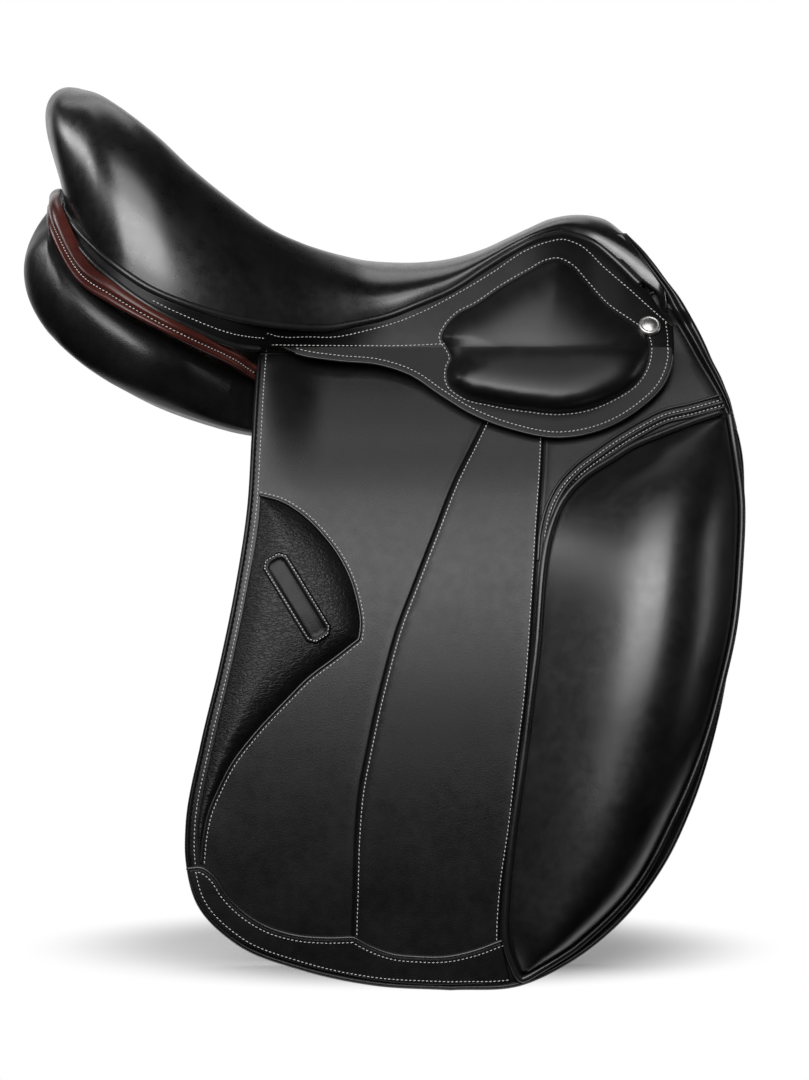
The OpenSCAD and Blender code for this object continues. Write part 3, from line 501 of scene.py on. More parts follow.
class Paint(Nodes):
    """Node tree of one material."""

    def __init__(self, name: str) -> None:
        """Starts a material with a shader and its output.

        Args:
            name: Name of the material.
        """
        self.material = bpy.data.materials.new(name)
        self.material.use_nodes = True
        super().__init__(self.material.node_tree)
        self.shader = self.tree.nodes["Principled BSDF"]
        self.place = self.add("ShaderNodeTexCoord").outputs["Object"]

    def noise(self, scale: float, detail: float = 3.0, rough: float = 0.55,
              place: Socket | None = None) -> Socket:
        """Noise values over the piece, at a scale in repeats to the metre."""
        inputs = {"Vector": place or self.place, "Scale": scale, "Detail": detail, "Roughness": rough}
        return self.add("ShaderNodeTexNoise", inputs).outputs["Fac"]

    def stretched(self, scale: Colour, turn: Colour = (0.0, 0.0, 0.0)) -> Socket:
        """The piece's coordinates, turned and scaled along each axis."""
        inputs = {"Vector": self.place, "Rotation": turn, "Scale": scale}
        return self.add("ShaderNodeMapping", inputs).outputs["Vector"]

    def bands(self, scale: float, distortion: float, direction: str) -> Socket:
        """Wavy bands across one direction of the piece."""
        inputs = {"Vector": self.place, "Scale": scale, "Distortion": distortion, "Detail": 2.0}
        return self.add("ShaderNodeTexWave", inputs, bands_direction=direction).outputs["Fac"]

    def ranged(self, value: Socket, low: float = 0.0, high: float = 1.0,
               source: tuple[float, float] = (0.3, 0.7)) -> Socket:
        """Values mapped from a source range to a range from low to high."""
        inputs = {"Value": value, "From Min": source[0], "From Max": source[1], "To Min": low, "To Max": high}
        return self.add("ShaderNodeMapRange", inputs).outputs["Result"]

    def shade(self, factor: Socket, a: Colour, b: Colour) -> Socket:
        """Colour between a, where the factor is 0, and b, where it is 1."""
        return self.add("ShaderNodeMix", {0: factor, 6: (*a, 1.0), 7: (*b, 1.0)}, data_type="RGBA").outputs[2]

    def relief(self, height: Socket, strength: float, depth_mm: float, under: Socket | None = None) -> Socket:
        """Surface relief from a height.

        Args:
            height: Socket of heights from 0 to 1.
            strength: Strength of the relief.
            depth_mm: Height of a full step.
            under: Relief that this one lies on.

        Returns:
            The normal socket.
        """
        inputs = {"Strength": strength, "Distance": depth_mm * MM, "Height": height}
        if under is not None:
            inputs["Normal"] = under
        return self.add("ShaderNodeBump", inputs).outputs["Normal"]

    def dressed(self, inputs: Inputs) -> bpy.types.Material:
        """Sets the shader's inputs.

        Args:
            inputs: Values or sockets by the names of the inputs.

        Returns:
            The finished material.
        """
        for key, value in inputs.items():
            self.put(self.shader.inputs[key], value)
        return self.material


@dataclass(frozen=True)
class LeatherFinish:
    """Dyed leather with its grain, tone and gloss."""

    name: str
    colour: Colour
    light: Colour
    roughness: float = 0.4
    grain_mm: float = 0.9
    grain_depth: float = 0.10
    crease: float = 0.0
    specular: float = 0.30

    def material(self) -> bpy.types.Material:
        """Builds the node material.

        Returns:
            The material.
        """
        n = Paint(self.name)
        grain = 1.0 / (self.grain_mm * MM)
        cells = n.add("ShaderNodeTexVoronoi", {"Vector": n.place, "Scale": grain, "Smoothness": 0.6},
                      feature="SMOOTH_F1").outputs["Distance"]
        fine = n.noise(2.2 * grain)
        broad = n.noise(26.0, detail=5.0, rough=0.6)
        patchy = n.noise(140.0, rough=0.5)
        height = n.maths("ADD", cells, n.maths("MULTIPLY", fine, 0.45))
        relief = n.relief(height, self.grain_depth, depth_mm=0.35)
        relief = n.relief(broad, 0.05, depth_mm=1.2, under=relief)
        if self.crease > 0.0:
            relief = n.relief(self.folds(n), self.crease, depth_mm=0.9, under=relief)
        sheen = n.maths("ADD", n.maths("MULTIPLY", broad, 0.5), n.maths("MULTIPLY", patchy, 0.5))
        gloss = n.ranged(sheen, self.roughness - 0.03, self.roughness + 0.05, source=(0.35, 0.65))
        return n.dressed({"Base Color": n.shade(n.ranged(broad), self.colour, self.light), "Roughness": gloss,
                          "Normal": relief, "Specular IOR Level": self.specular})

    def folds(self, n: Paint) -> Socket:
        """Heights of the creases between large, bent cells.

        Args:
            n: Node tree that they are added to.

        Returns:
            The height socket.
        """
        bent = n.stretched((1.0, 1.0, 2.3), turn=(0.0, 0.35, 0.0))
        wavy = n.add("ShaderNodeTexNoise", {"Vector": bent, "Scale": 95.0, "Detail": 2.0}).outputs["Color"]
        moved = n.vectors("MULTIPLY_ADD", wavy, (0.011, 0.011, 0.011), bent)
        lines = n.add("ShaderNodeTexVoronoi", {"Vector": moved, "Scale": 210.0}, feature="DISTANCE_TO_EDGE")
        return n.ranged(lines.outputs["Distance"], source=(0.0, 0.16))


@dataclass(frozen=True)
class MetalFinish:
    """Bare metal with fine tooling marks."""

    name: str
    colour: Colour
    roughness: float

    def material(self) -> bpy.types.Material:
        """Builds the node material.

        Returns:
            The material.
        """
        n = Paint(self.name)
        marks = n.noise(420.0, detail=4.0, rough=0.6, place=n.stretched((1.0, 9.0, 9.0)))
        dark = tuple(0.82 * c for c in self.colour)
        return n.dressed({"Base Color": n.shade(n.ranged(n.noise(60.0)), dark, self.colour), "Metallic": 1.0,
                          "Roughness": n.ranged(marks, self.roughness - 0.06, self.roughness + 0.12),
                          "Normal": n.relief(marks, 0.06, depth_mm=0.1)})


@dataclass(frozen=True)
class WoodFinish:
    """Stained laminated beech with its layers and grain."""

    name: str
    pale: Colour = (0.075, 0.046, 0.026)
    dark: Colour = (0.034, 0.020, 0.011)

    def material(self) -> bpy.types.Material:
        """Builds the node material.

        Returns:
            The material.
        """
        n = Paint(self.name)
        layers = n.bands(180.0, 3.0, "Z")
        grain = n.noise(22.0, detail=5.0, rough=0.6, place=n.stretched((6.0, 60.0, 60.0)))
        blend = n.maths("ADD", n.maths("MULTIPLY", layers, 0.35), n.maths("MULTIPLY", grain, 0.65))
        return n.dressed({"Base Color": n.shade(n.ranged(blend, source=(0.2, 0.8)), self.dark, self.pale),
                          "Normal": n.relief(grain, 0.2, depth_mm=0.3),
                          "Roughness": n.ranged(grain, 0.45, 0.65)})


@dataclass(frozen=True)
class ClothFinish:
    """Woven webbing, thread or open foam."""

    name: str
    colour: Colour
    dark: Colour
    yarn_mm: float = 0.8
    woven: bool = True

    def material(self) -> bpy.types.Material:
        """Builds the node material.

        Returns:
            The material.
        """
        n = Paint(self.name)
        scale = 1.0 / (self.yarn_mm * MM)
        mottle = n.noise(scale * 0.5, detail=4.0)
        weave = [n.bands(scale * 0.3, 0.6, direction) for direction in "XZ"] if self.woven else []
        height = n.maths("MAXIMUM", *weave) if weave else mottle
        return n.dressed({"Base Color": n.shade(n.ranged(mottle), self.dark, self.colour),
                          "Normal": n.relief(height, 0.35, depth_mm=0.4),
                          "Roughness": n.ranged(mottle, 0.7, 0.9)})


class Finishes:
    """All materials of the saddle, made once."""

    def __init__(self) -> None:
        """Builds the materials."""
        black = ((0.0028, 0.0028, 0.0031), (0.0056, 0.0056, 0.0060))
        # Edge leather is painted about twice as light as the black: a painted highlight for the bright lines
        # along cut edges, welts and piping.
        edge_sheen = ((0.006, 0.006, 0.0065), (0.012, 0.012, 0.0125))
        chestnut = ((0.031, 0.0068, 0.0054), (0.062, 0.0142, 0.0106))
        self.smooth = LeatherFinish("smooth_black_leather", *black, 0.36, specular=0.19).material()
        self.pad = LeatherFinish("pad_black_leather", *black, 0.36, specular=0.45).material()
        self.flap = LeatherFinish("flap_black_leather", *black, 0.33, 0.8, 0.16).material()
        self.block = LeatherFinish("block_black_leather", *black, 0.34, 0.8, 0.08, specular=0.95).material()
        self.seat = LeatherFinish("seat_black_leather", *black, 0.28, 0.8, 0.06, specular=0.95).material()
        self.grained = LeatherFinish("grained_black_leather", *black, 0.44, 1.1, 0.26, crease=0.30).material()
        self.panel = LeatherFinish("panel_black_leather", *black, 0.33, 1.0, 0.14, 0.05, 0.50).material()
        self.edge = LeatherFinish("edge_black_leather", *edge_sheen, 0.28, 0.6, 0.05, specular=0.50).material()
        self.brown = LeatherFinish("chestnut_leather", *chestnut, 0.27, 0.9, 0.10, specular=0.40).material()
        white = ((0.66, 0.65, 0.63), (0.46, 0.45, 0.43))
        cream = ((0.72, 0.69, 0.60), (0.60, 0.57, 0.49))
        raw = ((0.42, 0.39, 0.33), (0.26, 0.24, 0.20))
        self.thread = ClothFinish("white_thread", *white, 0.5, woven=False).material()
        self.foam = ClothFinish("pale_foam", *cream, 1.4, woven=False).material()
        self.web = ClothFinish("woven_web", *raw, 1.6).material()
        self.steel = MetalFinish("forged_steel", (0.58, 0.59, 0.61), 0.30).material()
        self.nail = MetalFinish("polished_nail", (0.56, 0.55, 0.54), 0.36).material()
        self.wood = WoodFinish("laminated_beech").material()


# Meshes

def stand(name: str, data: bpy.types.ID) -> bpy.types.Object:
    """Adds an object to the scene.

    Args:
        name: Its name.
        data: Its mesh, lamp or camera.

    Returns:
        The object.
    """
    obj = bpy.data.objects.new(name, data)
    bpy.context.scene.collection.objects.link(obj)
    return obj


def bake(obj: bpy.types.Object) -> bpy.types.Mesh:
    """Turns what an object's modifiers make into its plain mesh.

    Args:
        obj: The object, which loses its modifiers.

    Returns:
        The new mesh.
    """
    graph = bpy.context.evaluated_depsgraph_get()
    made = bpy.data.meshes.new_from_object(obj.evaluated_get(graph))
    obj.modifiers.clear()
    obj.data = made
    return made


@dataclass
class Solid:
    """Points and faces of one left-hand piece, in millimetres, before it becomes an object."""

    points: Array
    faces: list[tuple[int, ...]]
    slots: list[int] | None = None

    def object(self, name: str, side: Side, *materials: bpy.types.Material,
               sharp: float = 50.0) -> bpy.types.Object:
        """Makes the Blender object.

        Args:
            name: Name of the piece.
            side: Side that it belongs to; the right one is mirrored.
            materials: Materials in the order of the faces' slots.
            sharp: Angle in degrees from which an edge shows as a crease.

        Returns:
            The object, at the origin, with its place in its mesh.
        """
        co = self.points * MM
        if side is Side.RIGHT:
            co = co * MIRROR
        mesh = bpy.data.meshes.new(name)
        mesh.from_pydata(co.tolist(), [], self.faces)
        if self.slots is not None:
            mesh.polygons.foreach_set("material_index", np.array(self.slots, np.int32))
        bm = bmesh.new()
        bm.from_mesh(mesh)
        bmesh.ops.remove_doubles(bm, verts=bm.verts, dist=2e-6)
        bmesh.ops.dissolve_degenerate(bm, edges=bm.edges, dist=1e-7)
        bmesh.ops.recalc_face_normals(bm, faces=bm.faces)
        bm.to_mesh(mesh)
        bm.free()
        mesh.shade_smooth()
        mesh.set_sharp_from_angle(angle=math.radians(sharp))
        for material in materials:
            mesh.materials.append(material)
        return stand(name, mesh)


def joined(parts: Sequence[Solid]) -> Solid:
    """Several solids as one.

    Args:
        parts: The solids.

    Returns:
        One solid with all their points and faces.
    """
    faces: list[tuple[int, ...]] = []
    shift = 0
    for part in parts:
        faces += [tuple(i + shift for i in face) for face in part.faces]
        shift += len(part.points)
    return Solid(np.vstack([part.points for part in parts]), faces)


def slab(outer: Array, inner: Array) -> Solid:
    """Closed sheet between two grids of points.

    Args:
        outer: Outer points in rows and columns.
        inner: Inner points in the same rows and columns.

    Returns:
        The sheet.
    """
    n, m = outer.shape[:2]
    k = n * m
    faces: list[tuple[int, ...]] = []
    for i in range(n - 1):
        for a in range(i * m, i * m + m - 1):
            b, c, d = a + 1, a + m + 1, a + m
            faces += [(a, b, c, d), (k + a, k + d, k + c, k + b)]
    for j in range(m - 1):
        low = (n - 1) * m + j
        faces += [(j, k + j, k + j + 1, j + 1), (low, low + 1, k + low + 1, k + low)]
    for i in range(n - 1):
        rear, front = i * m, i * m + m - 1
        faces += [(rear, rear + m, k + rear + m, k + rear), (front, k + front, k + front + m, front + m)]
    return Solid(np.vstack([outer.reshape(-1, 3), inner.reshape(-1, 3)]), faces)


def loft(rings: Array) -> Solid:
    """Closed body through rings of points, with a fan at each end.

    Args:
        rings: Points of the rings, one after the other.

    Returns:
        The body.
    """
    n, m = rings.shape[:2]
    faces: list[tuple[int, ...]] = []
    for i in range(n - 1):
        for j in range(m):
            a, b = i * m + j, i * m + (j + 1) % m
            faces.append((a, a + m, b + m, b))
    last = (n - 1) * m
    for j in range(m):
        b = (j + 1) % m
        faces += [(n * m, j, b), (n * m + 1, last + b, last + j)]
    ends = np.stack([rings[0].mean(axis=0), rings[-1].mean(axis=0)])
    return Solid(np.vstack([rings.reshape(-1, 3), ends]), faces)


def tube(path: Array, up: Array, radius: float, sides: int = 10) -> Solid:
    """Round cord with rounded ends.

    Args:
        path: Points of its middle.
        up: Direction away from what it lies on, at each point.
        radius: Radius across.
        sides: Faces round it.

    Returns:
        The cord.
    """
    run = unit(np.gradient(path, axis=0))
    lift = unit(up - (up * run).sum(axis=1)[:, None] * run)
    across = np.cross(run, lift)
    turn = np.linspace(0.0, 2 * math.pi, sides, endpoint=False)[None, :, None]
    ring = np.cos(turn) * across[:, None, :] + np.sin(turn) * lift[:, None, :]
    middle = path[:, None, :]
    caps = [(0.95, 0.3), (0.7, 0.71), (0.3, 0.95)]
    head = [middle[0] + radius * (s * ring[0] - e * run[0]) for s, e in reversed(caps)]
    tail = [middle[-1] + radius * (s * ring[-1] + e * run[-1]) for s, e in caps]
    return loft(np.concatenate([np.array(head), middle + radius * ring, np.array(tail)]))


@dataclass
class Outlined:
    """Piece with a free outline in the side view, meshed finer along its edge and its seams."""

    edge: Array
    rings: Sequence[float]
    spacing: float = 4.0
    lines: Sequence[Array] = ()
    offsets: Sequence[float] = (0.0,)
    free: Array | None = None
    plan: Array = field(init=False)
    triangles: list[tuple[int, int, int]] = field(init=False)
    rim: list[tuple[int, int]] = field(init=False)
    depth: Array = field(init=False)

    def __post_init__(self) -> None:
        """Lays out the points and joins them into triangles."""
        groups = [self.edge]
        for k, gap in enumerate(self.rings):
            thin = 1 if gap < 2.5 else 2
            groups.append(self.clear(beside(self.edge, gap, True)[k % thin::thin], 0.92 * gap))
        for line in self.lines:
            groups += [self.clear(beside(line, gap), 0.8) for gap in self.offsets]
        groups.append(self.lattice())
        points = [Vector(p) for p in np.vstack(groups).tolist()]
        found = delaunay_2d_cdt(points, [], [list(range(len(self.edge)))], 1, 1e-5)
        self.plan = np.array([tuple(v) for v in found[0]])
        self.triangles = [tuple(f) for f in found[2]]
        rim: dict[tuple[int, int], bool] = {}
        for a, b, c in self.triangles:
            for edge in ((a, b), (b, c), (c, a)):
                if rim.pop(edge[::-1], None) is None:
                    rim[edge] = True
        self.rim = list(rim)
        self.depth = distance(self.plan, self.edge if self.free is None else self.free, self.free is None)

    def clear(self, points: Array, gap: float) -> Array:
        """Those points inside the outline that lie further than a gap from it."""
        points = points[inside(points, self.edge)]
        return points[distance(points, self.edge, True) > gap]

    def lattice(self) -> Array:
        """Even points over the inside, clear of the edge rings and the seams.

        Returns:
            The points.
        """
        low, high = self.edge.min(axis=0), self.edge.max(axis=0)
        rows = []
        for k, z in enumerate(np.arange(low[1], high[1], self.spacing * 0.866)):
            xs = np.arange(low[0] + (k % 2) * self.spacing / 2, high[0], self.spacing)
            rows.append(np.stack([xs, np.full(len(xs), z)], axis=1))
        grid = self.clear(np.vstack(rows), max(self.rings) + 0.5 * self.spacing)
        for line in self.lines:
            grid = grid[distance(grid, line) > max(self.offsets) + 0.5 * self.spacing]
        return grid

    def solid(self, front: Height, back: Height) -> Solid:
        """Closed solid between two faces.

        Args:
            front: Outer face from place, height and distance to the edge.
            back: Inner face from the same.

        Returns:
            The solid.
        """
        x, z, d = self.plan[:, 0], self.plan[:, 1], self.depth
        count = len(x)
        points = np.vstack([np.stack([x, face(x, z, d), z], axis=1) for face in (front, back)])
        faces: list[tuple[int, ...]] = [(a, c, b) for a, b, c in self.triangles]
        faces += [(count + a, count + b, count + c) for a, b, c in self.triangles]
        faces += [(a, b, count + b, count + a) for a, b in self.rim]
        return Solid(points, faces)

    def sheet(self, face: Face, thickness: float) -> Solid:
        """Leather of one thickness under a face, with rounded edges."""
        half = thickness / 2
        return self.solid(lambda x, z, d: face(x, z) - half + half * rounded(d, half),
                          lambda x, z, d: face(x, z) - half - half * rounded(d, half))

    def raised(self, face: Face, height: Height, sink: float) -> Solid:
        """Piece that rises by a height from a face and reaches a little way into it."""
        return self.solid(lambda x, z, d: face(x, z) + height(x, z, d), lambda x, z, d: face(x, z) - sink)


# Stitching

class StitchTree(Nodes):
    """Geometry Nodes tree that sets stitches along lines."""

    SIZES = {"Pitch": 0.0029, "Length": 0.0021, "Width": 0.00064, "Height": 0.0006, "Slant": 0.10}

    def __init__(self, thread: bpy.types.Material) -> None:
        """Builds the tree.

        Args:
            thread: Material of the stitches.
        """
        super().__init__(bpy.data.node_groups.new("stitch_run", "GeometryNodeTree"))
        self.tree.is_modifier = True
        face = self.tree.interface
        face.new_socket(name="Geometry", in_out="INPUT", socket_type="NodeSocketGeometry")
        self.keys: dict[str, str] = {}
        for name, value in self.SIZES.items():
            socket = face.new_socket(name=name, in_out="INPUT", socket_type="NodeSocketFloat")
            socket.default_value = value
            self.keys[name] = socket.identifier
        face.new_socket(name="Geometry", in_out="OUTPUT", socket_type="NodeSocketGeometry")
        start = self.add("NodeGroupInput").outputs
        curve = self.made("MeshToCurve", {"Mesh": start["Geometry"]})
        spaced = self.made("ResampleCurve", {"Curve": curve, "Length": start["Pitch"]}, mode="LENGTH")
        lay = self.made("InputNamedAttribute", {"Name": "lay"}, data_type="FLOAT_VECTOR")
        align = "FunctionNodeAlignRotationToVector"
        along = self.add(align, {"Vector": self.made("InputTangent")}, axis="X").outputs[0]
        upright = self.add(align, {"Rotation": along, "Vector": lay}, axis="Z", pivot_axis="X").outputs[0]
        slant = self.add("ShaderNodeCombineXYZ", {"Z": start["Slant"]}).outputs[0]
        turn = self.add("FunctionNodeRotateRotation", {"Rotation": upright, "Rotate By": slant},
                        rotation_space="LOCAL").outputs[0]
        sizes = {"X": start["Length"], "Y": start["Width"], "Z": start["Height"]}
        size = self.add("ShaderNodeCombineXYZ", sizes).outputs[0]
        ball = self.made("MeshUVSphere", {"Segments": 6, "Rings": 4, "Radius": 0.5})
        stitch = self.made("Transform", {"Geometry": ball, "Scale": size})
        run = self.made("InstanceOnPoints", {"Points": spaced, "Instance": stitch, "Rotation": turn})
        real = self.made("RealizeInstances", {"Geometry": run})
        smooth = self.made("SetShadeSmooth", {"Geometry": real})
        dressed = self.made("SetMaterial", {"Geometry": smooth, "Material": thread})
        self.add("NodeGroupOutput", {"Geometry": dressed})

    def made(self, kind: str, inputs: Inputs | None = None, **settings: object) -> Socket:
        """First output of a new geometry node, named without its usual start."""
        return self.add(f"GeometryNode{kind}", inputs, **settings).outputs[0]

    def sew(self, name: str, side: Side, runs: Sequence[tuple[Array, Array]],
            **sizes: float) -> bpy.types.Object:
        """Sets stitches along lines and turns them into a plain mesh.

        Args:
            name: Name of the piece.
            side: Side that the lines belong to.
            runs: Points and outward directions of each line, in millimetres, for the left side.
            sizes: Sizes in metres that differ from the usual ones, by input name.

        Returns:
            The stitches as one object.
        """
        flip = np.array([1.0, side.value, 1.0])
        points = np.vstack([p for p, _ in runs]) * flip * MM
        lays = np.vstack([n for _, n in runs]) * flip
        edges, start = [], 0
        for p, _ in runs:
            edges += [(start + k, start + k + 1) for k in range(len(p) - 1)]
            start += len(p)
        mesh = bpy.data.meshes.new(name)
        mesh.from_pydata(points.tolist(), edges, [])
        lay = mesh.attributes.new("lay", "FLOAT_VECTOR", "POINT")
        lay.data.foreach_set("vector", lays.astype(np.float32).ravel())
        obj = stand(name, mesh)
        modifier = obj.modifiers.new("stitches", "NODES")
        modifier.node_group = self.tree
        for key, identifier in self.keys.items():
            modifier[identifier] = sizes.get(key, self.SIZES[key])
        bake(obj).name = name
        return obj


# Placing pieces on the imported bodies

def declare(obj: bpy.types.Object, *nodes: str, slot: Slot = Slot.BLACK, fill: float | None = None) -> None:
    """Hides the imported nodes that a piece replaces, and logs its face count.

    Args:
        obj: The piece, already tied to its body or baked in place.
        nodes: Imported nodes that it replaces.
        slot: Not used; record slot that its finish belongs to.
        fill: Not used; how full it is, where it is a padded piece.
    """
    if nodes:
        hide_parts(*nodes)
    LOG.info("%s: %d faces", obj.name, len(obj.data.polygons))


def settle(obj: bpy.types.Object, body: str, *nodes: str, slot: Slot = Slot.BLACK,
           fill: float | None = None) -> None:
    """Ties a piece to its body and hides the nodes that it stands for."""
    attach(obj, body)
    declare(obj, *nodes, slot=slot, fill=fill)


def bend(obj: bpy.types.Object, above: str, below: str, start: float, end: float) -> None:
    """Bakes a piece's place into its mesh, without bending it."""
    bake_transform(obj)


def place(solid: Solid, name: str, side: Side, finish: bpy.types.Material, body: str, *nodes: str,
          slot: Slot = Slot.BLACK, sharp: float = 50.0, fill: float | None = None) -> None:
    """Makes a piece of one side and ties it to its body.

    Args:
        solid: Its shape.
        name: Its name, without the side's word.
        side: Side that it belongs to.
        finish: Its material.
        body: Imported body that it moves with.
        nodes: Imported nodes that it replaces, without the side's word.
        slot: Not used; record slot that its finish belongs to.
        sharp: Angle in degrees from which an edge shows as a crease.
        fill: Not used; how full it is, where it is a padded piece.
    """
    obj = solid.object(f"{name}_{side.word}", side, finish, sharp=sharp)
    settle(obj, body, *(f"{node}_{side.word}" for node in nodes), slot=slot, fill=fill)


# Seat

# Columns of the seat's rows: welt, middle line, rearward roll, plan heading of the edge, padding
WELT_X, WELT_OUT, WELT_Z, MID_X, MID_Z, ROLL, HEADING, PADDING = range(8)


@dataclass
class Seat:
    """Deep seat with its welt, the webs under it and the shape that the skirts follow."""

    finishes: Finishes
    dish: float = 18.0
    cover_t: float = 2.0
    foam_t: float = 25.0
    foam_edge_t: float = 3.0
    web_t: float = 1.6
    fit: float = 0.3
    lift_row: int = 22
    side_row: int = 8
    corner_row: int = 25
    welt_end: int = 23
    foam_from: int = 10
    grid_size: tuple[int, int] = (169, 97)
    web_rows: tuple[float, float] = (3.0, 20.0)
    web_angle: float = 15.0
    welt_skin: float = 0.3
    dish_half: float = 0.68
    dish_rear: tuple[float, float] = (-236.0, -176.0)
    dish_front: tuple[float, float] = (-10.0, -100.0)
    dome_inner: tuple[float, float] = (2.0, 3.6)
    dome_outer: tuple[float, float] = (2.5, 2.1)
    rows: Table = (
        (-238, 0, 171, -236, 253.5, 16, 180, 1.0), (-237, 46, 168, -234, 253.3, 15, 168, 1.0),
        (-233, 92, 160, -228, 252.3, 11, 143, 1.0), (-217, 126, 141, -213, 247.4, 5, 125, 1.0),
        (-198, 143, 124, -195, 235.2, 2, 112, 1.0), (-173, 149, 107, -170, 214.3, 0, 98, 1.0),
        (-147, 146, 96, -145, 190.7, 0, 88, 1.0), (-118, 137, 87.5, -117, 167.9, 0, 80, 1.0),
        (-92, 125, 83, -92, 150, 0, 78, 1.0), (-70, 115, 81, -70, 139.8, 0, 78, 1.0),
        (-49, 107, 81, -49, 133.4, 0, 78, 1.0), (-30, 101, 84.5, -30, 130, 0, 78, 1.0),
        (-11, 96, 89, -11, 128.3, 0, 80, 1.0), (12, 91, 98, 12, 128, 0, 80, 1.0),
        (35, 85, 108, 35, 130.5, 0, 80, 1.0), (58, 78, 123, 58, 137, 0, 80, 1.05),
        (77, 72, 135, 77, 145.5, 0, 80, 1.15), (92, 68, 143, 92, 152.5, 0, 80, 1.2),
        (104, 64, 147, 104, 158, 0, 80, 1.2), (114, 60, 149, 116, 161, 0, 80, 1.2),
        (125, 57, 147, 126, 162, 0, 80, 1.2), (138, 55.5, 142, 137, 161.3, 0, 80, 1.1),
        (154, 59, 129, 147, 158.3, 0, 80, 1.0), (170, 65, 113, 154, 152.5, 0, 72, 0.85),
        (183, 69, 102, 160, 145, 0, 60, 0.7), (188, 73, 91, 165, 138, 0, 45, 0.5),
        (189, 50, 97, 169, 131.5, 0, 15, 0.36), (182, 26, 110, 172, 126, 0, 5, 0.24),
        (175, 0, 117, 174, 121, 0, 0, 0.14))
    table: Array = field(init=False)
    welt_out: Profile = field(init=False)
    welt_z: Profile = field(init=False)

    def __post_init__(self) -> None:
        """Reads the rows and the lines that the skirts hang from."""
        self.table = np.array(self.rows, float)
        side = range(self.side_row, self.corner_row + 1)
        self.welt_z = Profile(tuple((self.rows[i][WELT_X], self.rows[i][WELT_Z]) for i in side))
        self.welt_out = Profile(tuple((self.rows[i][WELT_X], self.rows[i][WELT_OUT]
                                       + (0.0 if i < self.lift_row else 2.0)) for i in side))

    def row(self, s: Array) -> Array:
        """Rows between the given ones.

        Args:
            s: Row numbers, with shares.

        Returns:
            One row of values for each number.
        """
        rear, front = self.table[1].copy(), self.table[-2].copy()
        rear[WELT_OUT], rear[HEADING] = -rear[WELT_OUT], 360.0 - rear[HEADING]
        front[WELT_OUT], front[HEADING] = -front[WELT_OUT], -front[HEADING]
        return read_rows(np.vstack([rear, self.table, front]), s)

    def grid(self, s: Array, angles: Array) -> tuple[Array, Array]:
        """A row of values and an angle in degrees for each point of a grid over the seat."""
        rows = np.repeat(self.row(s)[:, None, :], len(angles), axis=1)
        return rows, np.repeat(angles[None, :], len(s), axis=0)

    def point(self, row: Array, angle: Array, deep: Array | float) -> Array:
        """Points of the seat.

        Args:
            row: Rows of values.
            angle: Degrees from the middle, up to 90 at the left welt, for each row.
            deep: Depth below the outer face.

        Returns:
            Points in millimetres.
        """
        k = np.sin(np.radians(np.abs(angle)))
        head = np.radians(row[..., HEADING])
        rise = row[..., MID_Z] - row[..., WELT_Z]
        top = np.max([self.bulge(row, share) for share in np.arange(0.0, 1.01, 0.04)], axis=0)
        roll = row[..., ROLL] * np.sin(np.radians(2 * np.abs(angle)))
        x = row[..., MID_X] + (row[..., WELT_X] - row[..., MID_X]) * k * k - roll - deep * k * np.cos(head)
        y = np.where(angle < 0, -1.0, 1.0) * np.maximum(0, row[..., WELT_OUT] * k - deep * k * np.sin(head))
        z = row[..., WELT_Z] + self.bulge(row, k) * rise / top - deep * np.cos(np.radians(angle))
        return np.stack([x, y, z], axis=-1)

    def bulge(self, row: Array, k: Array | float) -> Array:
        """Height over the welt, before it is scaled to the row.

        Args:
            row: Rows of values.
            k: Share of the way out from the middle.

        Returns:
            The heights.
        """
        q = ramp(row[..., MID_X], *self.dish_rear) * ramp(row[..., MID_X], *self.dish_front)
        dome = np.maximum(0, 1 - k ** mix(*self.dome_inner, q)) ** (1 / mix(*self.dome_outer, q))
        hollow = self.dish * q * np.maximum(0, 1 - (k / self.dish_half) ** 2) ** 2
        return (row[..., MID_Z] - row[..., WELT_Z]) * dome - hollow

    def padding(self, row: Array, angle: Array) -> Array:
        """Depth of the foam's inner face.

        Args:
            row: Rows of values.
            angle: Degrees from the middle.

        Returns:
            Depths below the outer face.
        """
        share = np.maximum(0, np.cos(np.radians(angle))) ** 0.7
        return (self.cover_t + self.fit + self.foam_edge_t
                + (self.foam_t * row[..., PADDING] - self.foam_edge_t) * share)

    def edge(self, i: int) -> Array:
        """Lower edge of the seat at a row."""
        return self.point(self.table[i], np.array(90.0), 0.0)

    def skirt_out(self, x: Array, z: Array) -> Array:
        """Skirt's outer face.

        Args:
            x: Places along the saddle.
            z: Heights.

        Returns:
            Distances from the middle.
        """
        share = (z - FOLD) / (self.welt_z(x) - FOLD)
        above = mix(FOLD_OUT(x), self.welt_out(x), share)
        below = FOLD_OUT(x) + (FOLD - z) * SKIRT_SLOPE - flap_wrap(x, z)
        return np.where(z > FOLD, above, below)

    def build(self) -> None:
        """Builds the cushion, its welt and the webs."""
        f = self.finishes
        cushion = self.cushion().object("seat_cushion", Side.LEFT, f.seat, f.foam, sharp=70)
        settle(cushion, ROOT, "seat_cover", "seat_foam", fill=0.8)
        self.build_welt()
        self.build_webs()

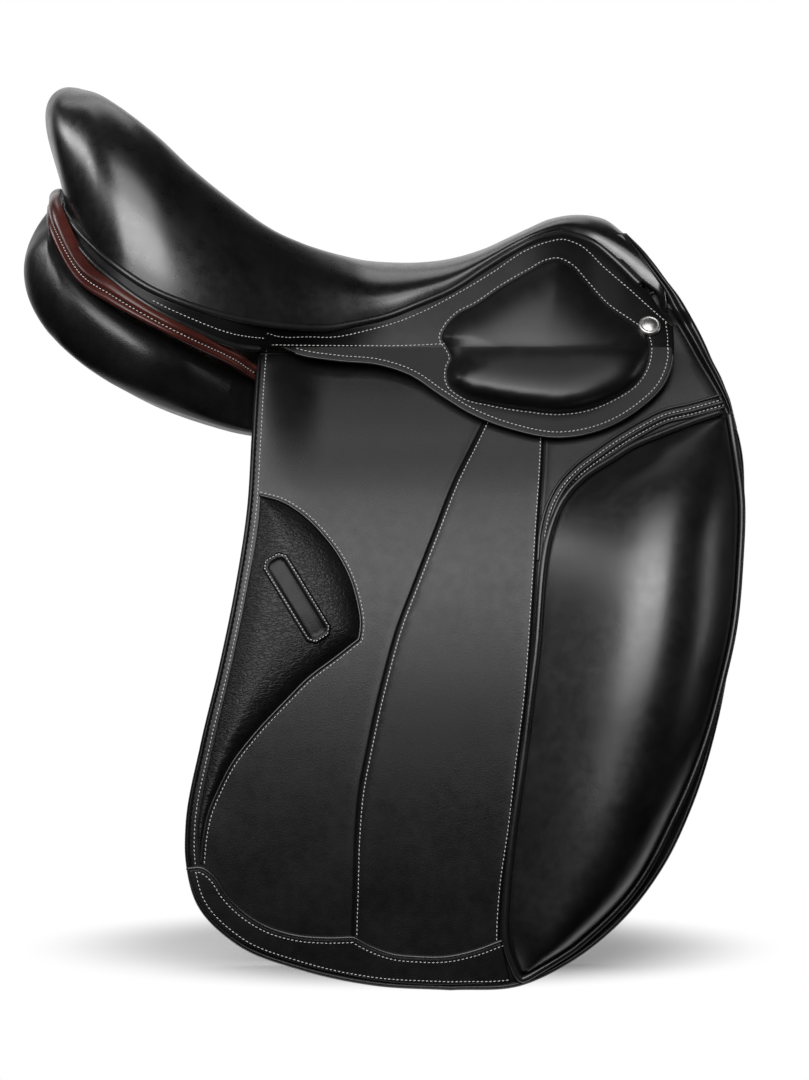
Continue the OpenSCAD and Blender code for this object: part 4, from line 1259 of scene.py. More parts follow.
    def cushion(self) -> Solid:
        """Leather over foam, with the bare foam in the middle of its lower face.

        Returns:
            The cushion, with the foam in its second slot.
        """
        along, across = self.grid_size
        rows, turned = self.grid(np.linspace(0, len(self.table) - 1, along), np.linspace(-90, 90, across))
        outer = self.point(rows, turned, 0.0)
        inner = self.point(rows, turned, self.padding(rows, turned))
        n, m = outer.shape[:2]
        k = n * m
        faces: list[tuple[int, ...]] = []
        slots: list[int] = []
        for i in range(n - 1):
            right, left = i * m, i * m + m - 1
            for j in range(m - 1):
                a, b, c, d = right + j, right + j + 1, right + m + j + 1, right + m + j
                faces += [(a, d, c, b), (k + a, k + b, k + c, k + d)]
                slots += [0, int(self.foam_from <= j < m - 1 - self.foam_from)]
            faces += [(left, k + left, k + left + m, left + m), (right, right + m, k + right + m, k + right)]
            slots += [0, 0]
        return Solid(np.vstack([outer.reshape(-1, 3), inner.reshape(-1, 3)]), faces, slots)

    def welt_points(self) -> list[Array]:
        """Points of the welt's middle on the left side.

        Returns:
            The points from the rear middle to the front corner.
        """
        edges = [self.edge(i) for i in range(self.welt_end + 1)]
        line = [edges[1] * MIRROR, *edges, edges[-1]]
        points = []
        for behind, p, ahead in zip(line, edges, line[2:]):
            run = unit(ahead - behind)
            points.append(p + (WELT_R + LAY) * unit(run[2] * run - UP))
        return points

    def build_welt(self) -> None:
        """Builds the welt along the lower edge of the seat."""
        left = self.welt_points()
        path = spline([p * MIRROR for p in left[:0:-1]] + left, 3.0)
        cord = tube(path, np.tile(UP, (len(path), 1)), WELT_R + self.welt_skin)
        settle(cord.object("seat_welt_cord", Side.LEFT, self.finishes.edge), ROOT, "seat_welt")

    def build_webs(self) -> None:
        """Builds the webs stretched along the tree under the foam."""
        angles = np.linspace(self.web_angle, -self.web_angle, 9)
        rows, turned = self.grid(np.linspace(*self.web_rows, 60), angles)
        deep = self.padding(rows, turned) + 4 * LAY
        sheet = slab(self.point(rows, turned, deep), self.point(rows, turned, deep + self.web_t))
        obj = sheet.object("seat_web_band", Side.LEFT, self.finishes.web)
        settle(obj, ROOT, "seat_webs", slot=Slot.WEBBING)


# Skirts

@dataclass
class Skirt:
    """Skirt leather with its padded insert, nail and stitching on one side."""

    finishes: Finishes
    stitches: StitchTree
    seat: Seat
    thickness: float = 3.2
    edge_r: float = 1.6
    fold_in: float = 0.07
    tuck: float = 1.6
    bend_from: float = 79.0
    bend_to: float = 51.0
    pad_upper_t: float = 12.5
    pad_lower_t: float = 11.5
    pad_fold_t: float = 12.0
    pad_sink: float = 0.4
    pad_lip: float = 0.9
    pad_full: float = 1.12
    pad_low_rise: float = 0.24
    pad_soft: tuple[float, float] = (7.0, 12.0)
    pad_soft_z: tuple[float, float] = (45.0, 75.0)
    fold_reach: float = 14.0
    fold_w: float = 5.0
    thread_lift: float = 0.1
    lip_r: float = 0.95
    bead_r: float = 2.1
    bead_end: float = -97.0
    band_span: tuple[float, float] = (-172.0, -94.0)
    band_share: float = 0.58
    pad_stitch: float = 1.6
    hem_stitch: float = 4.2
    nail_at: tuple[float, float] = (175.0, 79.5)
    nail_turn: Table = ((0.0, 4.1), (2.2, 3.95), (4.0, 3.45), (5.2, 2.85), (5.7, 2.75), (6.2, 3.0),
                        (6.9, 2.95), (7.6, 2.2), (8.0, 1.2), (8.0, 0.2), (7.4, 0.0))
    band_depth: tuple[float, ...] = (6, 6, 7, 10, 11, 12, 15, 19)
    lobe: Table = ((-84, 64.6), (-73, 60.0), (-44, 55), (-14, 52), (7, 45), (28, 31), (49, 18), (77, 7),
                   (111, 1), (139, 6), (167, 21), (185, 39), (191.5, 57), (192, 65))
    upper_stitch: Table = ((-92, 74), (-84, 72), (-65, 72), (-46, 72), (-22, 77), (-4, 82), (20, 92),
                           (42, 104), (65, 118), (89, 134), (104, 140), (115, 142), (125, 139), (145, 121),
                           (162, 106), (177, 92), (187, 83))
    tip_stitch: Table = ((187.5, 64), (187.5, 74), (186.5, 82))
    pad_edge: Table = ((111, 127), (104, 126), (91, 119), (72, 108), (53, 95), (40, 88), (32, 79), (29, 72),
                       (34, 63), (36, 58), (33, 49), (34, 39), (43, 31), (64, 25), (88, 21), (112, 19),
                       (128, 21), (149, 29), (167, 42), (174, 57), (174, 70), (171, 76), (163, 82),
                       (145, 95), (130, 112), (120, 123))
    seam: Table = ((-104, 66.5), (-70, 66.2), (-30, 66.0), (5, 66.2), (31, 67.5))

    def __post_init__(self) -> None:
        """Lays out the insert and the lobe, which both sides share."""
        self.face: Face = self.seat.skirt_out
        self.pad_line = spline(self.pad_edge, 1.5, closed=True)
        self.pads = [self.pad_plan(above) for above in (True, False)]
        self.lobe_line = lower = spline(self.lobe, 1.5)
        fold = even([lower[-1], (lower[0][0], FOLD)], 1.8)
        edge = outline(lower, fold, np.vstack([fold[-1], lower[0]]))
        self.lobe_plan = Outlined(edge, (0.3, 0.8, 1.6, 3.0), 4.5, free=lower)

    def pad_plan(self, above: bool) -> Outlined:
        """Layout of the insert's half above or below the fold."""
        edge = outline(ringed(level_cut(self.pad_line, FOLD, above, 1.5)))
        return Outlined(edge, (0.25, 0.7, 1.3, 2.2, 3.4, 5.0, 7.0), 3.5, free=ringed(self.pad_line))

    def pad_height(self, x: Array, z: Array, d: Array) -> Array:
        """Height of the insert over the skirt.

        Args:
            x: Places along the saddle.
            z: Heights.
            d: Distances inside its edge.

        Returns:
            How far it stands off the skirt.
        """
        crown = np.where(z > FOLD, self.pad_upper_t, self.pad_lower_t)
        crown = mix(crown, self.pad_fold_t, bump(z - FOLD, self.fold_reach))
        low = np.maximum(0.0, FOLD + 8.0 - z)
        crown = crown + self.pad_low_rise * low ** 2 / (low + 16.0)
        fold = 1 - self.fold_in * bump(z - FOLD, self.fold_w)
        swell = 1 - np.exp(-d / mix(*self.pad_soft, ramp(z, *self.pad_soft_z)))
        return self.pad_lip * rounded(d, 1.0) + (crown * swell * self.pad_full) * fold

    def build(self, side: Side) -> None:
        """Builds the pieces of one side.

        Args:
            side: Side to build.
        """
        f, flap_body, lobe_body = self.finishes, f"flap_{side.word}_body", f"skirt_{side.word}_body"
        place(self.upper_sheet(), "skirt_top", side, f.smooth, ROOT, "skirt_upper", sharp=60)
        lobe = self.lobe_plan.sheet(self.face, self.thickness)
        place(lobe, "skirt_lobe", side, f.smooth, lobe_body, "skirt_lower", sharp=60)
        halves = (("upper", ROOT, flap_body, self.bend_from, FOLD),
                  ("lower", flap_body, lobe_body, FOLD, self.bend_to))
        for plan, (name, *span) in zip(self.pads, halves):
            pad = plan.raised(self.face, self.pad_height, self.pad_sink)
            obj = pad.object(f"skirt_insert_{name}_{side.word}", side, f.pad, sharp=60)
            bend(obj, *span)
            declare(obj, f"pad_{name}_{side.word}", fill=0.7)
        self.edges(side)
        self.sew(side)
        self.nail(side)

    def edges(self, side: Side) -> None:
        """Lays the burnished lip round the lobe and the bead under the rear band.

        Args:
            side: Side to build.
        """
        lip = self.lobe_line[self.lobe_line[:, 1] < FOLD - 5.0]
        points, up = on_face(self.face, even(beside(lip, 0.7), 1.6), -0.3)
        cord = tube(points, up, self.lip_r, 8)
        place(cord, "skirt_lip", side, self.finishes.edge, f"skirt_{side.word}_body")
        _, low = self.grid_lines()
        low = even(low[low[:, 0] < self.bead_end], 2.0)
        out = level_out(np.gradient(low, axis=0))
        bead = tube(low + 0.2 * out - 0.8 * UP, out, self.bead_r)
        place(bead, "band_bead", side, self.finishes.edge, ROOT)

    def stations(self) -> tuple[Array, Array]:
        """Lines that the skirt leather hangs between.

        Returns:
            Points of its upper and its lower line, from the rear middle to its front end.
        """
        room = 2 * WELT_R + 3 * LAY - self.tuck
        tops, lows = [], []
        for i, deep in enumerate(self.band_depth):
            p = self.seat.edge(i)
            tops.append(p - room * UP)
            shift = 0.0 if i == 0 else (1.0 if i < 6 else -2.0 * (i - 5))
            lows.append(p + np.array([-1.0 if self.seat.table[i][HEADING] > 90 else 0.0, shift, -deep - 2.0]))
        xs = np.concatenate([[-92.0, -80.0, -68.0], np.linspace(-54, 186, 25), [190.0, 192.0]])
        slope = (self.seat.welt_z(np.minimum(xs, 186) + 2) - self.seat.welt_z(np.minimum(xs, 186) - 2)) / 4
        top_z = self.seat.welt_z(np.minimum(xs, 189)) - room * np.sqrt(1 + slope ** 2)
        low_z = np.where(xs < -86, 64.0, FOLD)
        tops += list(np.stack([xs, self.face(xs, top_z), top_z], axis=1))
        lows += list(np.stack([xs, self.face(xs, np.full_like(xs, FOLD + 0.001)), low_z], axis=1))
        return np.array(tops), np.array(lows)

    def grid_lines(self) -> tuple[Array, Array]:
        """Smooth lines through the stations, finer at the front end.

        Returns:
            The upper and the lower line, with matching points.
        """
        top, low = self.stations()
        last = len(top) - 2
        s = np.concatenate([np.linspace(0, last, 240), last + np.array([0.25, 0.5, 0.7, 0.85, 0.95, 1.0])])
        return along_points(top, s), along_points(low, s)

    def upper_sheet(self) -> Solid:
        """Leather from the rear band to the fold.

        Returns:
            A closed sheet.
        """
        top, low = self.grid_lines()
        width = np.linalg.norm(low - top, axis=1)
        insets = np.array([0.0, 0.12, 0.4, 0.8, self.edge_r])
        reach = np.minimum(self.edge_r, width / 5)
        rim = insets[:, None] * (reach / self.edge_r)[None, :] / width
        inner = np.linspace(0, 1, 10)[1:-1, None]
        v = np.vstack([rim, reach / width + inner * (1 - 2 * reach / width), 1 - rim[::-1]])
        points = top[None] * (1 - v[..., None]) + low[None] * v[..., None]
        hem = ramp(low[:, 0], -84.0, -94.0)
        thin = rounded(v * width, self.edge_r) * mix(1.0, rounded((1 - v) * width, self.edge_r), hem)
        steps = np.append(np.linalg.norm(np.diff(low, axis=0), axis=1), 0.0)
        front = np.append(np.cumsum(steps[::-1])[::-1][1:], 0.0)
        thin = thin * rounded(front, self.edge_r)[None, :]
        half = self.outward(points) * self.thickness / 2
        return slab(points - half + half * thin[..., None], points - half - half * thin[..., None])

    def outward(self, points: Array) -> Array:
        """Level outward direction of the skirt.

        Args:
            points: Points of its grid.

        Returns:
            One direction for each point.
        """
        forward = ramp(points[..., 0], -92.0, -72.0)[..., None]
        way = level_out(np.gradient(points, axis=1)) * (1 - forward) + np.array([0.0, 1.0, 0.0]) * forward
        way[:, 0] = np.array([-1.0, 0.0, 0.0])
        return unit(way)

    def sew(self, side: Side) -> None:
        """Sets the stitching of the skirt and its insert.

        Args:
            side: Side to sew.
        """
        top, low = self.grid_lines()
        band = (top[:, 0] > self.band_span[0]) & (top[:, 0] < self.band_span[1])
        rear = mix(top[band], low[band], self.band_share)
        out = np.tile(np.array([0.0, 1.0, 0.3]), (len(rear), 1))
        outer = ringed(beside(self.pad_line, -self.pad_stitch, True))
        hem = beside(self.lobe_line, self.hem_stitch)
        fixed = [spline(line, 1.2) for line in (self.upper_stitch, self.tip_stitch, self.seam)]
        fixed += runs_of(outer, outer[:, 1] > FOLD + 0.6)
        moving = [hem[hem[:, 1] < FOLD - 1.0], *runs_of(outer, outer[:, 1] < FOLD - 0.6)]
        top_runs = [(rear + 0.3 * out, out), *(on_face(self.face, run, self.thread_lift) for run in fixed)]
        lobe_runs = [on_face(self.face, run, self.thread_lift) for run in moving]
        settle(self.stitches.sew(f"skirt_top_stitches_{side.word}", side, top_runs), ROOT)
        lobe = self.stitches.sew(f"skirt_lobe_stitches_{side.word}", side, lobe_runs)
        settle(lobe, f"skirt_{side.word}_body")

    def nail(self, side: Side) -> None:
        """Turns the domed nail at the skirt's front.

        Args:
            side: Side to build.
        """
        (middle, _), (up, _) = on_face(self.face, np.array([self.nail_at, self.nail_at]), 0.3)
        a = unit(np.cross(up, UP))
        b = np.cross(up, a)
        turn = np.linspace(0, 2 * math.pi, 48, endpoint=False)
        rings = []
        for r, h in self.nail_turn:
            r = max(r, 0.05)
            rings.append(middle + h * up + np.outer(r * np.cos(turn), a) + np.outer(r * np.sin(turn), b))
        head = loft(np.array(rings))
        place(head, "nail_head", side, self.finishes.nail, ROOT, "saddle_nail", slot=Slot.NAIL, sharp=80)


# Flap

@dataclass
class Flap:
    """Flap leather with its head, knee block, thigh pad, patch, guard and stitching on one side."""

    finishes: Finishes
    stitches: StitchTree
    head_t: float = 3.2
    edge_r: float = 2.0
    block_t: float = 48.0
    block_foot: float = 2.0
    thigh_t: float = 10.5
    patch_mid: tuple[float, float] = (-71.0, -110.0)
    patch_lean: float = 31.5
    patch_size: tuple[float, float] = (68.0, 20.0)
    patch_cut: tuple[float, float] = (5.0, 4.5)
    patch_t: float = 0.9
    border_t: float = 1.5
    guard_t: float = 1.9
    thigh_lip: float = 0.7
    thigh_soft: float = 9.0
    crown_lean: float = 1.50
    crown_round: float = 0.64
    head_in: float = 6.0
    piping_r: float = 2.5
    bead_w: float = 3.4
    bead_h: float = 0.9
    groove_at: float = 3.9
    groove_depth: float = 0.6
    seam_depth: float = 0.9
    seam_ridge: float = 0.4
    seam_w: float = 0.9
    ridge_at: float = 2.0
    ridge_w: float = 1.0
    groove_w: float = 0.6
    border_d: tuple[float, float] = (3.2, 4.2)
    head_in_z: tuple[float, float] = (80.0, 96.0)
    head_thin_z: tuple[float, float] = (75.0, 50.0)
    seam_reach: float = 14.0
    seam_stitch: float = 2.3
    seam_top: float = 20.0
    hem_top: float = -300.0
    hem_front: float = 76.0
    hem_stitch: float = 6.2
    patch_stitch: float = 1.9
    bend_from: float = 62.0
    bend_to: float = 32.0
    top_corner: tuple[float, float] = (-96.0, 62.5)
    block_tip: tuple[float, float] = (84.0, -373.5)
    rear: Table = ((-100, 65), (-101.5, 40), (-103.5, 0), (-106, -46), (-114, -102), (-125, -157),
                   (-138, -212), (-148, -267), (-148, -291), (-140, -322), (-112, -350), (-69, -367),
                   (-17, -378), (35, -381))
    front: Table = ((35, -381), (83, -378), (114, -364), (150.5, -336), (182.5, -295), (202.5, -253),
                    (219.5, -198), (230, -143), (237.5, -88), (240, -42), (238.5, -5), (235.5, 8),
                    (229, 24), (223.2, 36), (213, 54), (203, 72.6), (196.6, 84))
    head: Table = ((196.6, 84), (192, 92), (186.5, 101), (182, 107))
    head_rear: Table = ((182, 107), (176, 106), (176, 84), (176, 62.5))
    middle_seam: Table = ((72, 40), (54, 2), (39, -28), (24, -66), (10, -102), (-1, -131), (-10, -163),
                          (-17, -192), (-22, -216), (-27, -242), (-30, -276), (-31, -311), (-32, -343),
                          (-32, -356))
    side_seam: Table = ((101, 30), (100, -6), (96, -63), (93, -110), (88, -177), (82, -225), (77, -268),
                        (71, -311), (69, -345), (69, -358))
    block_rear: Profile = Profile(((-369, 83), (-354, 77), (-341, 75), (-315, 76), (-275, 80), (-218, 88),
                                   (-177, 93), (-144, 97), (-94, 101), (-70, 105), (-50, 112), (-38, 120),
                                   (-27, 132), (-17, 148), (-7, 164), (1, 183), (10, 206), (16, 224)))
    block_front: Profile = Profile(((-369, 88), (-347, 122), (-309, 160), (-256, 189), (-210, 208),
                                    (-160, 222), (-127, 229), (-87, 233), (-46, 235), (-14, 232),
                                    (16, 228)))
    block_rise: Profile = Profile(((-369, 0.05), (-354, 0.28), (-335, 0.46), (-303, 0.62), (-262, 0.76),
                                   (-218, 0.86), (-177, 0.94), (-120, 1), (-94, 1), (-65, 0.95), (-38, 0.8),
                                   (-17, 0.58), (1, 0.3), (16, 0.05)))
    band_line: Table = ((225, 28), (204, 22), (184, 17), (170, 10), (153, 0), (137, -11), (124, -21),
                        (113, -33), (105, -48), (101, -63), (99, -84))
    thigh_arc: Table = ((-97, -40), (-83, -44), (-67, -54), (-53, -68), (-42, -83), (-35, -97), (-30, -114),
                        (-28, -128), (-29, -138))
    thigh_low: Table = ((-29, -138), (-47, -152), (-63, -164), (-78, -179), (-103, -206), (-116, -223),
                        (-126, -242), (-133, -259), (-136.5, -276), (-138, -292))
    thigh_rear: Table = ((-138, -292), (-139.5, -270), (-135, -240), (-129, -212), (-116.5, -157),
                         (-105.5, -102), (-98, -55), (-97, -40))
    guard_top: Table = ((-146, -297), (-137, -296.5), (-129, -302), (-121, -314), (-107, -328), (-90, -338),
                        (-73, -343), (-50, -345), (-32, -344.5))
    guard_dip: Table = ((-32, -344.5), (-20, -351), (-6, -356), (12, -358), (32, -358), (51, -354),
                        (70, -347))
    guard_end: Table = ((70, -347), (72, -356), (76, -374))
    guard_low: Table = ((76, -374), (56, -376.3), (34, -377.3), (12, -376.8), (-6, -375.3), (-22, -373),
                        (-38, -370), (-61, -365), (-83, -358.5), (-101, -351.5), (-118, -342.5),
                        (-130, -332), (-139, -320), (-144, -308), (-146, -297))

    def __post_init__(self) -> None:
        """Lays out the leathers, which both sides share."""
        self.rear_line, self.front_line = spline(self.rear, 2.0), spline(self.front, 2.0)
        head = np.vstack([spline(self.head, 2.0)[:-1], spline(self.head_rear, 2.0)])
        top = even([head[-1], self.top_corner], 2.4)
        corner = even([top[-1], self.rear_line[0]], 1.5)
        self.middle_line, self.side_line = spline(self.middle_seam, 1.6), spline(self.side_seam, 1.6)
        self.plan = Outlined(outline(self.rear_line, self.front_line, head, top, corner),
                             (0.35, 0.9, 1.7, 2.4, 3.0, 3.5, 4.0, 4.6, 5.6), 4.0,
                             (self.middle_line, self.side_line),
                             (-3.4, -2.2, -1.3, -0.6, 0.0, 0.6, 1.3, 2.2, 3.4))
        z = np.concatenate([np.linspace(16, -40, 60), np.linspace(-41, -330, 190),
                            np.linspace(-331, -369, 40)])
        self.block_lines = [self.block_rear.line(z, 1.6), self.block_front.line(z[::-1], 1.6)]
        rear, front = self.block_lines
        edge = outline(rear, np.vstack([rear[-1], front[0]]), front, np.vstack([front[-1], rear[0]]))
        self.block_plan = Outlined(edge, (0.3, 0.8, 1.5, 2.4, 3.6, 5.2, 7.2, 9.6), 4.0)
        self.arc, self.low_arc = spline(self.thigh_arc, 1.5), spline(self.thigh_low, 1.5)
        self.thigh_edge = outline(self.arc, self.low_arc, spline(self.thigh_rear, 1.5))
        self.thigh_plan = Outlined(self.thigh_edge, (0.3, 0.8, 1.5, 2.5, 4.0, 6.0), 3.0)
        self.guard_lines = [spline(line, 1.4) for line in (self.guard_top, self.guard_dip, self.guard_end,
                                                           self.guard_low)]
        self.guard_plan = Outlined(outline(*self.guard_lines), (0.25, 0.6, 1.0, 1.8), 3.0)
        self.band = spline(self.band_line, 1.5)
        self.patch_edge = self.patch_outline()
        self.patch_plan = Outlined(self.patch_edge, (0.3, 0.8, 1.4, 2.2, 3.0, 3.6, 4.2, 5.0), 2.5)

    def seams(self, x: Array, z: Array) -> Array:
        """Relief of the two seams in the flap.

        Args:
            x: Places along the saddle.
            z: Heights.

        Returns:
            How far the leather rises, or falls where negative.
        """
        p = np.stack([x, z], axis=1)
        total = np.zeros_like(x)
        for line in (self.middle_line, self.side_line):
            near = np.abs(x - np.interp(-z, -line[:, 1], line[:, 0])) < self.seam_reach
            d = np.full(len(x), 99.0)
            d[near] = distance(p[near], line)
            total += (self.seam_ridge * bump(d - self.ridge_at, self.ridge_w)
                      - self.seam_depth * bump(d, self.seam_w))
        return total

    def leather(self, x: Array, z: Array, d: Array) -> Array:
        """Outer face with its bound edge and seams.

        Args:
            x: Places along the saddle.
            z: Heights.
            d: Distances inside the edge.

        Returns:
            Distances from the middle.
        """
        half = self.sheet_t(z) / 2
        bead = self.bead_h * np.sin(math.pi * np.minimum(d, self.bead_w) / self.bead_w)
        groove = -self.groove_depth * bump(d - self.groove_at, self.groove_w)
        bound = np.where(d < self.bead_w, bead, 0.0) + groove
        return self.sheet_out(x, z) - half + half * rounded(d, self.edge_r) + bound + self.seams(x, z)

    def lining(self, x: Array, z: Array, d: Array) -> Array:
        """Inner face of the leather."""
        return self.sheet_out(x, z) - self.sheet_t(z) / 2 * (1 + rounded(d, self.edge_r))

    def sheet_out(self, x: Array, z: Array) -> Array:
        """Outer face of the leather, whose head lies in behind the skirt."""
        return flap_out(x, z) - self.head_in * ramp(z, *self.head_in_z)

    def sheet_t(self, z: Array) -> Array:
        """Thickness of the leather, thinner in its head."""
        return mix(self.head_t, FLAP_T, ramp(z, *self.head_thin_z))

    def block_height(self, x: Array, z: Array, d: Array) -> Array:
        """Height of the knee block over the flap.

        Args:
            x: Places along the saddle.
            z: Heights.
            d: Distances inside the edge, which the crown doesn't follow.

        Returns:
            How far it stands off the flap.
        """
        a, b = self.block_rear(z), self.block_front(z)
        u = np.clip((x - a) / np.maximum(b - a, 0.5), 0.0, 1.0)
        swell = np.maximum(0.0, np.sin(math.pi * u ** self.crown_lean)) ** self.crown_round
        return self.block_foot + (self.block_t - self.block_foot) * self.block_rise(z) * swell

    def thigh_height(self, x: Array, z: Array, d: Array) -> Array:
        """Height of the thigh pad at distance d inside its edge."""
        return self.thigh_lip * rounded(d, 0.8) + self.thigh_t * (1 - np.exp(-d / self.thigh_soft))

    def thigh_face(self, x: Array, z: Array) -> Array:
        """Outer face of the thigh pad."""
        d = distance(np.stack([x, z], axis=1), self.thigh_edge, True)
        return flap_out(x, z) + self.thigh_height(x, z, d)

    def patch_outline(self) -> Array:
        """Outline of the keeper patch, which is long, with cut corners.

        Returns:
            Points of the outline.
        """
        half_l, half_w = self.patch_size[0] / 2, self.patch_size[1] / 2
        side, end = half_l - self.patch_cut[0], half_w - self.patch_cut[1]
        local = [(-half_w, side), (-end, half_l), (end, half_l), (half_w, side),
                 (half_w, -side), (end, -half_l), (-end, -half_l), (-half_w, -side)]
        c, s = math.cos(math.radians(self.patch_lean)), math.sin(math.radians(self.patch_lean))
        mid_x, mid_z = self.patch_mid
        return polygon([(mid_x + a * c - v * s, mid_z + a * s + v * c) for a, v in local], 1.2)

    def patch_height(self, x: Array, z: Array, d: Array) -> Array:
        """Height of the patch over the thigh pad: a raised border round a plain inset."""
        border = 1.0 - ramp(d, *self.border_d)
        return (self.patch_t + self.border_t * border) * rounded(d, 0.9)

    def guard_height(self, x: Array, z: Array, d: Array) -> Array:
        """Height of the guard over the flap."""
        return self.guard_t * rounded(d, 1.0)

    def build(self, side: Side) -> None:
        """Builds the pieces of one side.

        Args:
            side: Side to build.
        """
        word, f, body = side.word, self.finishes, f"flap_{side.word}_body"
        leather = self.plan.solid(self.leather, self.lining).object(f"flap_leather_{word}", side, f.flap)
        bend(leather, ROOT, body, self.bend_from, self.bend_to)
        declare(leather, f"flap_{word}", f"flap_head_{word}")
        block = self.block_plan.raised(flap_out, self.block_height, 0.6)
        place(block, "knee_roll", side, f.block, body, "knee_block", sharp=75, fill=0.9)
        place(self.piping(), "knee_roll_piping", side, f.edge, body, "block_piping")
        pad = self.thigh_plan.raised(flap_out, self.thigh_height, 0.5)
        place(pad, "thigh_cushion", side, f.grained, body, "thigh_pad", sharp=75, fill=0.6)
        patch = self.patch_plan.raised(self.thigh_face, self.patch_height, 0.6)
        place(patch, "bare_patch", side, f.smooth, body, "keeper_patch", sharp=60)
        guard = self.guard_plan.raised(flap_out, self.guard_height, 0.4)
        place(guard, "guard_strip", side, f.flap, body, "lower_guard")
        place(self.beads(), "flap_lips", side, f.edge, body)
        self.sew(side)

    def piping(self) -> Solid:
        """Piping round the knee block.

        Returns:
            The cord.
        """
        rear, front = (beside(line, -self.piping_r) for line in self.block_lines)
        points, up = on_face(flap_out, even(np.vstack([rear, [self.block_tip], front]), 2.0), 2.0)
        return tube(points, up, self.piping_r, 12)

    def beads(self) -> Solid:
        """Turned lips along the thigh pad, the guard and the band over the block.

        Returns:
            All lips as one solid.
        """
        arc = even(np.vstack([self.arc, self.low_arc]), 1.6)
        guard = even(np.vstack(self.guard_lines[:2]), 1.6)
        cords = []
        for line, gap, lift, radius in ((arc, 0.9, 0.7, 1.1), (guard, 0.3, 1.3, 1.4),
                                        (self.band, -3.4, 0.3, 1.2), (self.band, 2.0, 0.5, 1.7),
                                        (self.band, 5.6, 0.4, 1.3)):
            points, up = on_face(flap_out, even(beside(line, gap), 1.8), lift)
            cords.append(tube(points, up, radius, 8))
        return joined(cords)

    def sew(self, side: Side) -> None:
        """Sets the stitching of the flap.

        Args:
            side: Side to sew.
        """
        word, body = side.word, f"flap_{side.word}_body"
        rear = beside(self.rear_line, 6.6)
        low_rear = self.rear_line[:, 1] < self.hem_top
        low_front = (self.front_line[:, 0] < self.hem_front) & (self.front_line[:, 1] < self.hem_top)
        hem = np.vstack([beside(self.rear_line, self.hem_stitch)[low_rear],
                         beside(self.front_line, self.hem_stitch)[low_front]])
        middle = beside(self.middle_line, self.seam_stitch)
        by_block = beside(self.side_line, -self.seam_stitch)
        guard = np.vstack([self.guard_lines[0][6:], self.guard_lines[1]])
        lines = ((rear[rear[:, 1] > -297], 0.1),
                 (middle[(middle[:, 1] < self.seam_top) & (middle[:, 1] > -345)], 0.35),
                 (by_block[(by_block[:, 1] < self.seam_top) & (by_block[:, 1] > -349)], 0.35),
                 (beside(self.arc, 3.2), 0.1), (beside(self.low_arc, 3.2), 0.1), (self.band, 0.25),
                 (beside(self.band, 4.0), 0.3), (hem, 2.0), (beside(guard, -3.0), 2.0))
        runs = [on_face(flap_out, even(line, 1.2), lift) for line, lift in lines]
        obj = self.stitches.sew(f"flap_stitches_{word}", side, runs)
        bend(obj, ROOT, body, self.bend_from, self.bend_to)
        declare(obj)
        border = on_face(self.thigh_face, ringed(beside(self.patch_edge, self.patch_stitch, True)), 2.4)
        settle(self.stitches.sew(f"patch_stitches_{word}", side, [border], Pitch=0.0024, Length=0.0017), body)


# Under the flap

